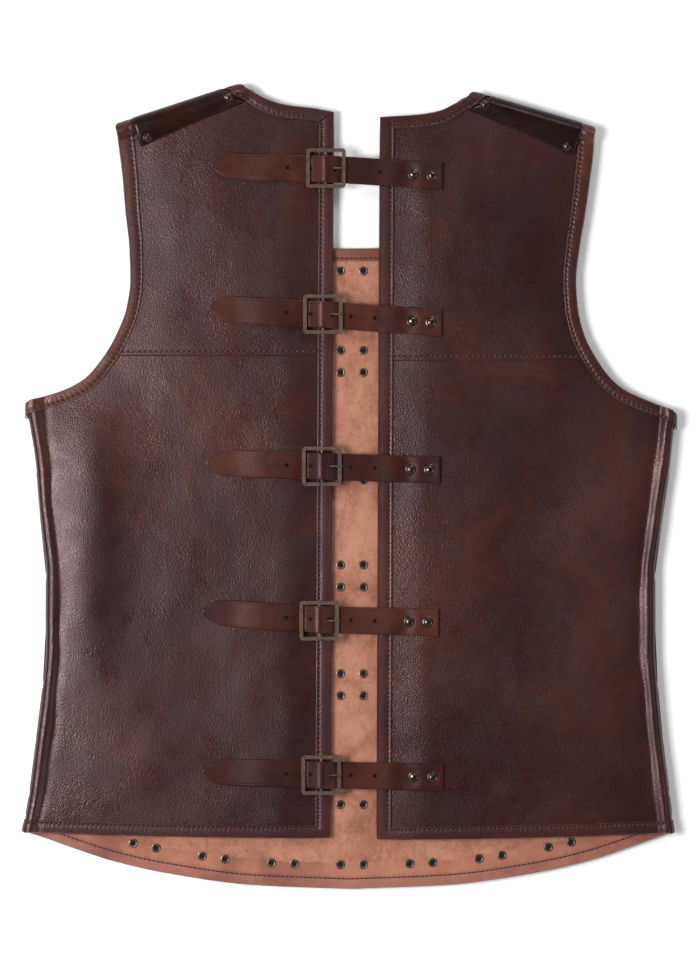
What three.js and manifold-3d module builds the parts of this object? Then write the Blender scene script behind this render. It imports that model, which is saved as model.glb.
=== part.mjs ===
// A leather brigandine body, open at the back, laid flat on its plated front.
// Millimetres. +Z is up, +Y runs to the neck, and X is across the garment.
// Each half is measured outwards from the X = 0 line: "out" is that distance.

import * as THREE from 'three';
import Module from 'manifold-3d';
import { mergeVertices } from 'three/addons/utils/BufferGeometryUtils.js';

const wasm = await Module();
wasm.setup();

// Driving dimensions.
const leather = 2.2;
const clearance = 0.3;
const seamGap = 0.8;             // between the front's and the back's edges on a fold
const plateThickness = 3;
const foldRadius = 5.5;          // middle of the leather round a side or shoulder fold
const seamAngle = 60;            // where front and back meet on a fold, degrees above level
const plateReach = 1;            // how far the side plates stand out past the folded leather
const bindingThickness = 1.2;
const bindingWidth = 10;
const edgeHeight = 10;           // middle of the back's leather at the open back edge
const bodyHeight = 12.9;         // middle of the back's leather over the body
const openEdgeRise = 45;         // how far from the open edge the body reaches its height
const valleyDepth = 0.9;         // hollow beside a fold
const lapWidth = 11;             // yoke over lower back
const lapStep = 0.6;             // how far the yoke's edge stands proud
const skivedTop = -0.25;         // thinned leather under the lap, from the middle of the wall
const strapWidth = 24.3;
const strapThickness = 2.2;
const buckleSize = 35.5;
const barWidth = 2.8;
const barHeight = 2.4;
const chapeThickness = 1.5;
const chapeWidth = 20;
const guardThickness = 2.2;
const guardGap = 0.7;
const hiddenFlange = 7;          // a binding's flange on its hidden side
const chapeLength = 48;
const garmentCentre = 5;         // X of the middle of the neck
const barRise = 5.95;            // a buckle's middle above the leather under it
const slotLength = 8.4;          // the slot in a strap round its prong
const slotWidth = 3.2;
const pulledGap = 0.4;           // air between a strap and what it lies on

// Heights of the stacked layers.
const frontMiddle = plateThickness + clearance + leather / 2;
const foldCrest = frontMiddle + 2 * foldRadius;
const foldReach = foldRadius + leather / 2;
const seamInset = foldReach - foldRadius * Math.cos(THREE.MathUtils.degToRad(seamAngle));
const frontSeamAngle = seamAngle - THREE.MathUtils.radToDeg(seamGap / foldRadius);

// Outline tables. The side is where the plates end, the arm row is the armhole's edge.
const sideTable = [
  { y: -313, left: 295.6, right: 292.6 },
  { y: -272, left: 288.7, right: 288.2 },
  { y: -229, left: 283.3, right: 282.6 },
  { y: -186, left: 277.9, right: 278.6 },
  { y: -143, left: 274.6, right: 275.8 },
  { y: -78, left: 274.4, right: 275.8 },
  { y: -45, left: 277.9, right: 280.1 },
  { y: -13, left: 281.2, right: 284.3 },
  { y: 19, left: 283.6, right: 289.4 },
  { y: 52, left: 288.7, right: 292.7 },
  { y: 65, left: 291, right: 294.5 },
  { y: 74.5, left: 292.3, right: 294.5 },
];
const armTable = [
  { y: 84, left: 259, right: 248.6 },
  { y: 95, left: 238.3, right: 234.6 },
  { y: 117, left: 219.4, right: 218.9 },
  { y: 138, left: 207.7, right: 209 },
  { y: 160, left: 199.6, right: 204 },
  { y: 185, left: 196.2, right: 202.4 },
  { y: 214, left: 197, right: 205.6 },
  { y: 246, left: 200.5, right: 210.8 },
  { y: 278, left: 203.2, right: 215.3 },
  { y: 300, left: 205.9, right: 218 },
  { y: 330, left: 210, right: 219.6 },
];
const frontHemTable = [
  { out: 0, y: -362.3 },
  { out: 87, y: -358.7 },
  { out: 166, y: -347.9 },
  { out: 214, y: -337 },
  { out: 247, y: -326.3 },
  { out: 278, y: -315.3 },
  { out: 294, y: -310 },
];
const swellTable = [
  { half: 'left', out: 236, y: -45, rise: 4.2, across: 30, along: 130 },
  { half: 'left', out: 120, y: -190, rise: -1.1, across: 60, along: 70 },
  { half: 'left', out: 200, y: -235, rise: 0.9, across: 50, along: 60 },
  { half: 'left', out: 110, y: 230, rise: 0.8, across: 50, along: 60 },
  { half: 'right', out: 190, y: -90, rise: -0.6, across: 50, along: 110 },
  { half: 'right', out: 120, y: -20, rise: 0.9, across: 45, along: 90 },
  { half: 'right', out: 225, y: -230, rise: 1.1, across: 45, along: 80 },
  { half: 'right', out: 130, y: 240, rise: 0.8, across: 50, along: 60 },
];
const halfTable = {
  left: {
    sign: -1,
    opening: [{ y: -316, out: 19 }, { y: 116, out: 16.9 }, { y: 336, out: 15.4 }],
    hem: { centreY: -316, sideY: -310.5 },
    seamY: 116.5,
    underarm: { y: 74.5, out: 292.3 },
    shoulderArm: { out: 209, y: 324.7 },
    neck: [
      { out: 15.4, y: 335.7 },
      { out: 33.5, y: 338.6 },
      { out: 57.6, y: 341.4 },
      { out: 73.7, y: 346.2 },
      { out: 91.8, y: 355.8 },
      { out: 101.3, y: 359.9 },
    ],
    frontNeck: [{ y: 214, out: 52 }, { y: 232, out: 76 }, { y: 262, out: 89 }, { y: 345, out: 98 }],
    guard: { neckEnd: 13.5, neckSlant: -14.5, armEnd: 99, neckDepth: 14, armDepth: 24.8 },
  },
  right: {
    sign: 1,
    opening: [{ y: -317.5, out: 25.4 }, { y: 112, out: 27.2 }, { y: 331, out: 28.4 }],
    hem: { centreY: -317.5, sideY: -311 },
    seamY: 112,
    underarm: { y: 65, out: 294.5 },
    shoulderArm: { out: 218.9, y: 322 },
    neck: [
      { out: 28.4, y: 331.1 },
      { out: 45, y: 331.6 },
      { out: 60.5, y: 332.6 },
      { out: 80.6, y: 336 },
      { out: 97, y: 344 },
      { out: 113.3, y: 353.1 },
    ],
    frontNeck: [{ y: 214, out: 62 }, { y: 232, out: 87 }, { y: 262, out: 100 }, { y: 345, out: 110 }],
    guard: { neckEnd: 13.5, neckSlant: -14.5, armEnd: 100, neckDepth: 13.9, armDepth: 28 },
  },
};
const strapTable = [
  { tipX: -125, tipY: 287.3, endX: 83.6, endY: 278.4, buckleX: -21.4, buckleY: 285.2 },
  { tipX: -127.4, tipY: 159.3, endX: 82.7, endY: 146.3, buckleX: -24.1, buckleY: 154 },
  { tipX: -129.8, tipY: 20.6, endX: 81.3, endY: 14, buckleX: -25.1, buckleY: 17.3 },
  { tipX: -133, tipY: -113, endX: 79.9, endY: -123.2, buckleX: -27.4, buckleY: -121.4 },
  { tipX: -133.2, tipY: -256.9, endX: 84.1, endY: -262.6, buckleX: -25.6, buckleY: -260.1 },
];

// ---- small mathematics ---------------------------------------------------------------------

const lerp = THREE.MathUtils.lerp;
const radians = THREE.MathUtils.degToRad;
const vector = (x, y, z) => new THREE.Vector3(x, y, z);

// A smooth function through the rows of a table, with no overshoot between them.
function smoothTable(rows, input, output) {
  const xs = rows.map((row) => row[input]);
  const ys = rows.map((row) => row[output]);
  const last = xs.length - 1;
  const steps = xs.slice(1).map((x, i) => (ys[i + 1] - ys[i]) / (x - xs[i]));
  const slopes = ys.map((_, i) => {
    if (i === 0) return steps[0];
    if (i === last) return steps[last - 1];
    const flat = steps[i - 1] * steps[i] <= 0;
    return flat ? 0 : (2 * steps[i - 1] * steps[i]) / (steps[i - 1] + steps[i]);
  });
  return (x) => {
    if (x <= xs[0]) return ys[0];
    if (x >= xs[last]) return ys[last];
    const i = xs.findIndex((next, k) => k > 0 && x <= next) - 1;
    const width = xs[i + 1] - xs[i];
    const t = (x - xs[i]) / width;
    return ys[i] * (1 + 2 * t) * (1 - t) ** 2 + ys[i + 1] * t * t * (3 - 2 * t)
      + slopes[i] * width * t * (1 - t) ** 2 - slopes[i + 1] * width * t * t * (1 - t);
  };
}

function smoothStep(t) {
  const s = THREE.MathUtils.clamp(t, 0, 1);
  return s * s * (3 - 2 * s);
}

// ---- the two halves ------------------------------------------------------------------------

const frontHem = smoothTable(frontHemTable, 'out', 'y');

function makeHalf(name) {
  const half = { ...halfTable[name], name };
  const tip = half.underarm;
  const armRows = [tip, ...armTable.map((row) => ({ y: row.y, out: row[name] }))];
  const lowerArm = armRows.filter((row) => row.y < 140).reverse();
  half.side = smoothTable(sideTable, 'y', name);
  half.armOut = smoothTable(armRows, 'y', 'out');
  half.armY = smoothTable(lowerArm, 'out', 'y');
  half.open = smoothTable(half.opening, 'y', 'out');
  half.neckY = smoothTable(half.neck, 'out', 'y');
  half.frontNeckOut = smoothTable(half.frontNeck, 'y', 'out');
  half.peak = half.neck[half.neck.length - 1];
  const shoulder = new THREE.Vector2(
    half.shoulderArm.out - half.peak.out, half.shoulderArm.y - half.peak.y);
  half.shoulderLength = shoulder.length();
  half.along = shoulder.normalize();
  half.upward = new THREE.Vector2(-half.along.y, half.along.x);
  half.leatherSide = (y) => half.side(Math.min(y, tip.y)) - plateReach;
  half.sideSeam = (y) => half.leatherSide(y) - seamInset;
  half.shoulderY = (out, inset) => half.peak.y
    + ((out - half.peak.out) * half.along.y - inset) / half.along.x;
  half.toShoulder = (out, y) => -(
    (out - half.peak.out) * half.upward.x + (y - half.peak.y) * half.upward.y);
  half.corner = half.peak.out;
  while (half.neckY(half.corner) > half.shoulderY(half.corner, seamInset)) half.corner -= 0.05;
  half.backHem = (out) => lerp(half.hem.centreY, half.hem.sideY, (out / tip.out) ** 2);
  half.edges = edgeSamples(half);
  half.swells = swellTable.filter((row) => row.half === name);
  return half;
}

// Points along the armhole and neck, from which the back's leather sinks to the front's.
function edgeSamples(half) {
  const samples = [];
  for (let i = 0; i <= 24; i += 1) {
    const y = lerp(half.underarm.y, half.shoulderArm.y, i / 24);
    samples.push([half.armOut(y), y]);
    const out = lerp(half.neck[0].out, half.peak.out, i / 24);
    samples.push([out, half.neckY(out)]);
    const low = lerp(half.armOut(140), half.underarm.out, i / 24);
    samples.push([low, half.armY(low)]);
  }
  return samples;
}

const halves = ['left', 'right'].map(makeHalf);
const [leftHalf, rightHalf] = halves;

// Height of the middle of the back's leather. Beside each fold it is a circle round to the
// seam, then it dips a little and rises to the body.
function backHeight(half, out, y) {
  const toSide = half.leatherSide(y) - out;
  const toShoulder = half.toShoulder(out, y);
  const nearest = Math.min(toSide, toShoulder);
  if (nearest < foldReach) {
    const reach = Math.min(foldReach - nearest, foldRadius);
    return frontMiddle + foldRadius + Math.sqrt(foldRadius ** 2 - reach ** 2);
  }
  const toEdge = Math.min(...half.edges.map(([a, b]) => Math.hypot(a - out, b - y)));
  const toHem = y - half.backHem(out);
  const ease = (1 - 0.75 * Math.exp(-((toEdge / 30) ** 2))) * (1 - 0.4 * Math.exp(-toHem / 25));
  const rise = smoothStep((out - half.open(y)) / openEdgeRise) * ease;
  const folds = [toSide, toShoulder].map((distance) => {
    const s = (distance - foldReach) / 8;
    return { crest: Math.exp(-((s * 1.45) ** 2)), dip: s * s * Math.exp(1 - s * s) };
  });
  const crest = Math.max(folds[0].crest, folds[1].crest);
  const swell = half.swells.reduce((sum, row) => sum + row.rise
    * Math.exp(-(((out - row.out) / row.across) ** 2) - ((y - row.y) / row.along) ** 2), 0);
  const body = edgeHeight + (bodyHeight - edgeHeight + swell) * rise;
  return body + (foldCrest - body) * crest - valleyDepth * (folds[0].dip + folds[1].dip);
}

// A place on the back: the point in the middle of the leather and its outward normal.
function backPlace(half, out, y) {
  const step = 0.05;
  const slopeOut = (backHeight(half, out + step, y) - backHeight(half, out - step, y)) / (2 * step);
  const slopeY = (backHeight(half, out, y + step) - backHeight(half, out, y - step)) / (2 * step);
  return {
    out,
    y,
    point: vector(half.sign * out, y, backHeight(half, out, y)),
    normal: vector(-half.sign * slopeOut, -slopeY, 1).normalize(),
  };
}

// A place on the flat of the front, whose outer face lies down.
function frontPlace(half, out, y) {
  return { out, y, point: vector(half.sign * out, y, frontMiddle), normal: vector(0, 0, -1) };
}

// Places round a side fold and round a shoulder fold, from -90 degrees to the seam.
function sideFoldPlace(half, y, angle) {
  const across = Math.cos(radians(angle));
  const up = Math.sin(radians(angle));
  const out = half.leatherSide(y) - foldReach + foldRadius * across;
  return {
    point: vector(half.sign * out, y, frontMiddle + foldRadius * (1 + up)),
    normal: vector(half.sign * across, 0, up),
  };
}

function shoulderFoldPlace(half, base, angle) {
  const across = Math.cos(radians(angle));
  const up = Math.sin(radians(angle));
  const out = base.out + half.upward.x * foldRadius * across;
  const y = base.y + half.upward.y * foldRadius * across;
  return {
    point: vector(half.sign * out, y, frontMiddle + foldRadius * (1 + up)),
    normal: vector(half.sign * half.upward.x * across, half.upward.y * across, up),
  };
}

// ---- closed walls --------------------------------------------------------------------------

// A net of places, each with an outer and an inner point. Patches that share places join, and
// the net's free edges are closed between the two faces.
class Wall {
  constructor() {
    this.outer = [];
    this.inner = [];
    this.quads = [];
    this.found = new Map();
  }

  place(outer, inner) {
    const key = [outer, inner].flatMap((p) => [p.x, p.y, p.z]).map((n) => Math.round(n * 1000)).join();
    if (!this.found.has(key)) {
      this.found.set(key, this.outer.length);
      this.outer.push(outer);
      this.inner.push(inner);
    }
    return this.found.get(key);
  }

  // Each patch's faces are turned so that they look from its inner points to its outer ones.
  patch(rows) {
    const ids = rows.map((row) => row.map(({ outer, inner }) => this.place(outer, inner)));
    const quads = [];
    for (let i = 0; i + 1 < ids.length; i += 1) {
      for (let k = 0; k + 1 < ids[i].length; k += 1) {
        quads.push([ids[i][k], ids[i][k + 1], ids[i + 1][k + 1], ids[i + 1][k]]);
      }
    }
    const facing = quads.reduce((sum, quad) => sum + this.facing(quad), 0);
    this.quads.push(...(facing < 0 ? quads.map((quad) => quad.reverse()) : quads));
    return this;
  }

  facing(quad) {
    const [a, b, c, d] = quad.map((id) => this.outer[id]);
    const across = c.clone().sub(a).cross(d.clone().sub(b));
    const depth = quad.reduce((v, id) => v.add(this.outer[id]).sub(this.inner[id]), vector(0, 0, 0));
    return across.dot(depth);
  }

  geometry() {
    const { quads } = this;
    const count = this.outer.length;
    const triangles = [];
    const edges = new Map();
    quads.forEach(([a, b, c, d]) => {
      triangles.push([a, b, c], [a, c, d]);
      triangles.push([a + count, c + count, b + count], [a + count, d + count, c + count]);
      [[a, b], [b, c], [c, d], [d, a]].forEach(([from, to]) => edges.set(`${from},${to}`, [from, to]));
    });
    edges.forEach(([from, to]) => {
      if (edges.has(`${to},${from}`)) return;
      triangles.push([from, from + count, to + count], [from, to + count, to]);
    });
    return solidGeometry([...this.outer, ...this.inner], triangles);
  }
}

function solidGeometry(points, triangles) {
  const geometry = new THREE.BufferGeometry();
  geometry.setAttribute('position', new THREE.Float32BufferAttribute(
    points.flatMap((p) => [p.x, p.y, p.z]), 3));
  geometry.setIndex(triangles.flat());
  return geometry;
}

function offset(place, outer, inner) {
  return {
    outer: place.point.clone().addScaledVector(place.normal, outer),
    inner: place.point.clone().addScaledVector(place.normal, inner),
  };
}

// ---- back panels ---------------------------------------------------------------------------

// Distances in from a fold's seam, close together where the leather bends.
const foldSteps = [0, 2.7, 5.4, 8.4, 12, 18, 30];

function lapBump(half, y) {
  return lapStep * Math.exp(-(((y - half.seamY) / 8) ** 2));
}

// Columns of the lower back, as fractions of the way from the open edge to the side seam.
function lowerColumns(half) {
  const start = half.open(half.seamY);
  const end = half.sideSeam(half.seamY);
  const lapCorner = half.armOut(half.seamY + lapWidth);
  const seamCorner = half.armOut(half.seamY) + 0.4;
  const outs = [start, start + bindingWidth, 52, 90, 130, 165, 192, lapCorner, seamCorner,
    ...foldSteps.map((step) => end - step).reverse()];
  return outs.filter((out, i) => i < 9 || out > seamCorner + 5)
    .map((out) => (out - start) / (end - start));
}

function lowerTop(half, out) {
  const lap = half.seamY + lapWidth;
  const arm = out >= half.armOut(lap) ? half.armY(out) : lap;
  return Math.min(lap, arm);
}

function lowerPlan(half, u) {
  const outAt = (y) => lerp(half.open(y), half.sideSeam(y), u);
  const top = lowerTop(half, outAt(half.seamY));
  const bottom = half.backHem(outAt(half.hem.sideY));
  const seam = half.seamY;
  const nearTop = [58, 28, lapWidth + 0.5, lapWidth + 0.2, 0].map((drop) => top - drop);
  const fractions = [0, 0.03, 0.09, 0.2, 0.32, 0.44, 0.57, 0.7, 0.84];
  const ys = [...fractions.map((t) => lerp(bottom, seam - 60 - (seam + lapWidth - top), t)), ...nearTop];
  return ys.map((y) => ({ out: outAt(y), y }));
}

function lowerBack(half) {
  const lapCorner = half.armOut(half.seamY + lapWidth);
  const rows = lowerColumns(half).map((u) => lowerPlan(half, u).map(({ out, y }) => {
    const underLap = y > half.seamY - (out > lapCorner + 1 ? 14 : 0.35);
    return offset(backPlace(half, out, y), underLap ? skivedTop : leather / 2, -leather / 2);
  }));
  return new Wall().patch(rows).geometry();
}

function yokeColumns(half) {
  const start = half.open(half.peak.y);
  const end = half.armOut(half.shoulderArm.y);
  const top = half.corner;
  const outs = [start, start + bindingWidth, 45, top - 34, top - 22, top - 15, top - 11, top - 7.4, top - 3.6, top,
    top + 26, top + 50, top + 74, end - bindingWidth, end];
  return outs.map((out) => (out - start) / (end - start));
}

function yokeOut(half, u, y) {
  return lerp(half.open(y), half.armOut(Math.min(y, half.shoulderArm.y)), u);
}

function yokeTop(half, out) {
  const seam = half.shoulderY(out, seamInset);
  return out < half.corner ? half.neckY(out) : seam;
}

function yokePlan(half, u) {
  let top = half.peak.y;
  for (let i = 0; i < 8; i += 1) top = yokeTop(half, yokeOut(half, u, top));
  const nearSeam = [0, lapWidth / 2, lapWidth + 0.3, lapWidth + 1.3, 24].map((rise) => half.seamY + rise);
  const nearTop = [118, 74, 44, 27, 18, 12.5, 8.4, 5.4, 2.7, 0].map((drop) => top - drop);
  return [...nearSeam, ...nearTop].map((y) => ({ out: yokeOut(half, u, y), y }));
}

function yoke(half) {
  const rows = yokeColumns(half).map((u) => yokePlan(half, u).map(({ out, y }) => {
    const overLap = y < half.seamY + lapWidth + 0.5;
    const inner = overLap ? skivedTop + 0.5 : -leather / 2;
    return offset(backPlace(half, out, y), leather / 2 + lapBump(half, y), inner);
  }));
  return new Wall().patch(rows).geometry();
}

// ---- front panel ---------------------------------------------------------------------------

const chestY = 120;              // where the front's armhole turns up from the underarm
const neckBaseY = 214;
const neckDrop = 1.6;
const foldAngles = [-90, -60, -30, 0, 30, frontSeamAngle];
const frontBody = [0, 0.18, 0.42, 0.64, 0.84];  // fractions of the way out to the armhole
const frontSide = [0.3, 0.6, 0.83, 1];          // fractions from there to the side fold

// The front's armhole is cut a little deeper than the back's.
function frontArmOut(half, y) {
  const deep = 6 * smoothStep((y - half.underarm.y) / 25) * smoothStep((half.shoulderArm.y - 8 - y) / 40);
  return half.armOut(y) - deep;
}

function frontArmY(half, out) {
  const start = half.leatherSide(half.underarm.y) - foldReach;
  return half.armY(out) - 4 * smoothStep((start - out) / 25) * smoothStep((out - 205) / 20);
}

function foldStart(half, y) {
  return half.leatherSide(y) - foldReach;
}

function frontOut(half, u, y) {
  return lerp(half.sign * garmentCentre, foldStart(half, y), u);
}

function armColumn(half) {
  const start = half.sign * garmentCentre;
  return (frontArmOut(half, chestY) - start) / (foldStart(half, chestY) - start);
}

function frontColumns(half) {
  const arm = armColumn(half);
  return [...frontBody.map((t) => t * arm), arm, ...frontSide.map((t) => lerp(arm, 1, t))];
}

const frontRows = [0, 0.04, 0.15, 0.28, 0.41, 0.54, 0.67, 0.8, 0.92, 1];

function frontColumnPlan(half, u) {
  const arm = armColumn(half);
  const across = frontOut(half, u, half.underarm.y);
  const top = u <= arm + 0.001 ? chestY : frontArmY(half, across);
  return frontRows.map((t) => {
    const guess = lerp(-330, top, t);
    const bottom = frontHem(Math.abs(frontOut(half, u, guess)));
    const y = lerp(bottom, top, t);
    return { out: frontOut(half, u, y), y };
  });
}

function frontFoldPlan(half, angle) {
  const top = half.underarm.y;
  return frontRows.map((t) => {
    const bottom = frontHem(foldStart(half, -310) + foldRadius * Math.cos(radians(angle)));
    return sideFoldPlace(half, lerp(bottom, top, t), angle);
  });
}

function frontChest(half) {
  const arm = armColumn(half);
  return frontColumns(half).filter((u) => u <= arm + 0.001).map((u) => [chestY, 150, 182, neckBaseY].map((y) => {
    const out = lerp(half.sign * garmentCentre, frontArmOut(half, y), u / arm);
    return frontPlace(half, out, y - neckDip(half, out, y));
  }));
}

// The neck's lowest edge curves down a little at the middle.
function neckDip(half, out, y) {
  if (y < neckBaseY) return 0;
  const middle = half.sign * garmentCentre;
  const side = half.frontNeckOut(neckBaseY);
  return neckDrop * Math.max(0, 1 - ((out - middle) / (side - middle)) ** 2);
}

const strapRows = [0, 0.1, 0.22, 0.4, 0.6, 0.8, 1];

function neckColumn(half) {
  const arm = armColumn(half);
  const start = half.sign * garmentCentre;
  const columns = frontColumns(half).filter((u) => u <= arm + 0.001);
  const outs = columns.map((u) => lerp(start, frontArmOut(half, neckBaseY), u / arm));
  const wanted = half.frontNeckOut(neckBaseY);
  const best = outs.reduce((near, out, i) => (
    Math.abs(out - wanted) < Math.abs(outs[near] - wanted) ? i : near), 1);
  return { columns, outs, best };
}

// The part of the front beside the neck, up to and round the shoulder fold.
function frontShoulder(half) {
  const { columns, outs, best } = neckColumn(half);
  const shared = columns.slice(best);
  const neckStart = outs[best] - half.frontNeckOut(neckBaseY);
  return shared.map((u) => {
    const w = (u - shared[0]) / (shared[shared.length - 1] - shared[0]);
    const outAt = (y) => {
      const ease = neckStart * (1 - smoothStep((y - neckBaseY) / 40));
      return lerp(half.frontNeckOut(y) + ease, frontArmOut(half, y), w);
    };
    let top = half.shoulderArm.y;
    for (let i = 0; i < 8; i += 1) top = half.shoulderY(outAt(top), foldReach);
    const bottom = neckBaseY - neckDip(half, outAt(neckBaseY), neckBaseY);
    const flat = strapRows.map((t) => frontPlace(half, outAt(lerp(neckBaseY, top, t)), lerp(neckBaseY, top, t)));
    flat[0] = frontPlace(half, outAt(neckBaseY), bottom);
    const base = { out: outAt(top), y: top };
    return [...flat, ...foldAngles.slice(1).map((angle) => shoulderFoldPlace(half, base, angle))];
  });
}

function frontPanel() {
  const wall = new Wall();
  const skin = (rows) => rows.map((row) => row.map((place) => offset(place, leather / 2, -leather / 2)));
  halves.forEach((half) => {
    const flats = frontColumns(half).map((u) => frontColumnPlan(half, u)
      .map(({ out, y }) => frontPlace(half, out, y)));
    const folds = foldAngles.slice(1).map((angle) => frontFoldPlan(half, angle));
    wall.patch(skin([...flats, ...folds]));
    wall.patch(skin(frontChest(half)));
    wall.patch(skin(frontShoulder(half)));
  });
  return wall.geometry();
}

// ---- bindings ------------------------------------------------------------------------------

// A strip folded over an edge. A station has the place on the edge, the places under the ends
// of its two flanges, and the direction into the leather.
function bindingWall(stations) {
  const rows = stations.map(({ edge, flange, under, inward, rise = 0, drop = 0 }) => {
    const upper = leather / 2 + clearance + rise;
    const lower = leather / 2 + clearance + drop;
    const at = (depth, height) => edge.point.clone()
      .addScaledVector(inward, depth).addScaledVector(edge.normal, height);
    const nose = -clearance - bindingThickness;
    return [
      ...flange.map((place) => offset(place, upper + bindingThickness, upper)),
      { outer: at(nose * 0.55, upper + bindingThickness), inner: at(-clearance, upper) },
      { outer: at(nose, 0), inner: at(-clearance, 0) },
      { outer: at(nose * 0.55, -lower - bindingThickness), inner: at(-clearance, -lower) },
      ...under.map((place) => offset(place, -lower - bindingThickness, -lower)),
    ];
  });
  return new Wall().patch(rows).geometry();
}

// Directions into the leather, square to a line of plan points.
function squareTo(points, k, turn) {
  const before = points[Math.max(0, k - 1)];
  const after = points[Math.min(points.length - 1, k + 1)];
  const length = Math.hypot(after.out - before.out, after.y - before.y);
  return { out: (turn * (after.y - before.y)) / length, y: (-turn * (after.out - before.out)) / length };
}

function backStation(half, point, inward, steps) {
  const edge = backPlace(half, point.out, point.y);
  const within = (width) => backPlace(half, point.out + inward.out * width, point.y + inward.y * width);
  const flange = steps.map((t) => within(bindingWidth * t));
  const direction = flange[steps.length - 1].point.clone().sub(edge.point).normalize();
  const drop = point.lift ?? 0;
  const rise = lapBump(half, point.y) + drop;
  const under = steps.length > 1 ? [within(hiddenFlange / 2), within(hiddenFlange)] : [within(hiddenFlange)];
  return { edge, flange, under, inward: direction, rise, drop };
}

// A binding along the back. Its ends may be mitred, so they are given their own directions, and
// a mitred end is drawn back to part it from the next strip.
function backBinding(half, points, turn, first, last, steps = [1]) {
  const ends = points.length - 1;
  const drawBack = (from, to, mitre) => {
    const length = Math.hypot(to.out - from.out, to.y - from.y);
    const t = mitre ? (2 * clearance) / length : 0;
    return { ...from, out: lerp(from.out, to.out, t), y: lerp(from.y, to.y, t) };
  };
  return bindingWall(points.map((point, k) => {
    if (k === 0) return backStation(half, drawBack(point, points[1], first.mitre), first, steps);
    if (k === ends) return backStation(half, drawBack(point, points[ends - 1], last.mitre), last, steps);
    return backStation(half, point, point.inward ?? squareTo(points, k, turn), steps);
  }));
}

// The direction from a point of the lower back along its column, which follows the side.
function columnStep(half, u, y, rise) {
  const outAt = (level) => lerp(half.open(level), half.sideSeam(level), u);
  return { out: (outAt(y + rise) - outAt(y)) / Math.abs(rise), y: Math.sign(rise) };
}

const foldLift = 0.5;            // a strip stands off the leather a little where it bends

// Beside the shoulder fold a strip's flange runs along the fold, so that it lies on its curve.
function turnAlongShoulder(half, points, turn, way) {
  const squares = points.map((p, k) => p.inward ?? squareTo(points, k, turn));
  points.forEach((p, k) => {
    const near = 1 - smoothStep((half.toShoulder(p.out, p.y) - 5) / 22);
    p.lift = foldLift * near;
    p.inward = {
      out: lerp(squares[k].out, way * half.along.x, near),
      y: lerp(squares[k].y, way * half.along.y, near),
    };
  });
}

function spaced(points, least) {
  return points.filter((p, i) => i === 0 || i === points.length - 1
    || Math.hypot(p.out - points[i - 1].out, p.y - points[i - 1].y) > least);
}

function backBindings(half) {
  const hem = lowerColumns(half).map((u) => {
    const point = lowerPlan(half, u)[0];
    return { ...point, inward: columnStep(half, u, point.y, bindingWidth) };
  });
  const lowOpen = lowerPlan(half, 0).filter((p) => p.y < half.seamY - 5);
  const highOpen = yokePlan(half, 0);
  const open = spaced([...lowOpen, ...highOpen], 12);
  const neck = yokeColumns(half).map((u) => yokePlan(half, u).at(-1))
    .filter((p) => p.out < half.corner + 0.5);
  const yokeArm = spaced(yokePlan(half, 1).reverse(), 2);
  const lowArm = lowerColumns(half).map((u) => ({ ...lowerPlan(half, u).at(-1), u }))
    .filter((p) => p.out > half.armOut(half.seamY) + 3);
  const foldInward = columnStep(half, 1, half.underarm.y, -bindingWidth);
  const arm = [...yokeArm, ...lowArm];
  arm.forEach((p, k) => {
    const nearFold = smoothStep((p.out - half.underarm.out + 45) / 30);
    if (!p.u || !nearFold) return;
    const square = squareTo(arm, k, 1);
    const along = columnStep(half, p.u, p.y, -bindingWidth);
    arm[k].inward = { out: lerp(square.out, along.out, nearFold), y: lerp(square.y, along.y, nearFold) };
  });
  turnAlongShoulder(half, neck, 1, 1);
  turnAlongShoulder(half, arm, 1, -1);
  const hemCorner = { out: 1, y: 1, mitre: true };
  const neckCorner = { out: 1, y: -1, mitre: true };
  const shoulderEnd = { out: half.along.x, y: half.along.y };
  const armEnd = { out: -half.along.x, y: -half.along.y };
  return {
    hem: backBinding(half, hem, -1, hemCorner, hem.at(-1).inward),
    opening: backBinding(half, open, 1, hemCorner, neckCorner),
    neck: backBinding(half, neck, 1, neckCorner, shoulderEnd, [1, 0.7, 0.4]),
    armhole: backBinding(half, arm, 1, armEnd, foldInward, [1, 0.5]),
  };
}

// A binding along the front, whose leather is flat or ruled along the direction inwards.
function frontStation(place, inward) {
  const end = { point: place.point.clone().addScaledVector(inward, bindingWidth), normal: place.normal };
  return { edge: place, flange: [end], under: [end], inward };
}

// On a side fold the flange follows the side, which isn't straight.
function sideFoldStation(half, y, angle, rise) {
  const edge = sideFoldPlace(half, y, angle);
  const end = sideFoldPlace(half, y + rise, angle);
  const inward = end.point.clone().sub(edge.point).normalize();
  return { edge, flange: [end], under: [end], inward };
}

function frontHemStations(half) {
  const flats = frontColumns(half).map((u) => frontColumnPlan(half, u)[0])
    .map(({ out, y }) => frontPlace(half, out, y));
  const ys = [flats.at(-1).point.y, ...foldAngles.slice(1).map((angle) => frontFoldPlan(half, angle)[0].point.y)];
  return [
    ...flats.slice(0, -1).map((place) => frontStation(place, vector(0, 1, 0))),
    ...foldAngles.map((angle, i) => sideFoldStation(half, ys[i], angle, bindingWidth)),
  ];
}

function frontNeckStations(half) {
  const column = frontShoulder(half)[0];
  const flatCount = strapRows.length;
  const side = vector(half.sign * half.along.x, half.along.y, 0);
  const folds = column.slice(flatCount).reverse();
  const { best } = neckColumn(half);
  const base = frontChest(half).slice(0, best).map((rows) => rows.at(-1)).reverse();
  const flats = [...column.slice(0, flatCount).reverse(), ...base];
  return [
    ...folds.map((place) => frontStation(place, side)),
    ...flats.map((place, k) => {
      const square = squareTo(flats, k, -1);
      if (k === 0) return frontStation(place, side);
      const middle = k === flats.length - 1;
      return frontStation(place, middle ? vector(0, -1, 0) : vector(half.sign * square.out, square.y, 0));
    }),
  ];
}

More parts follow.
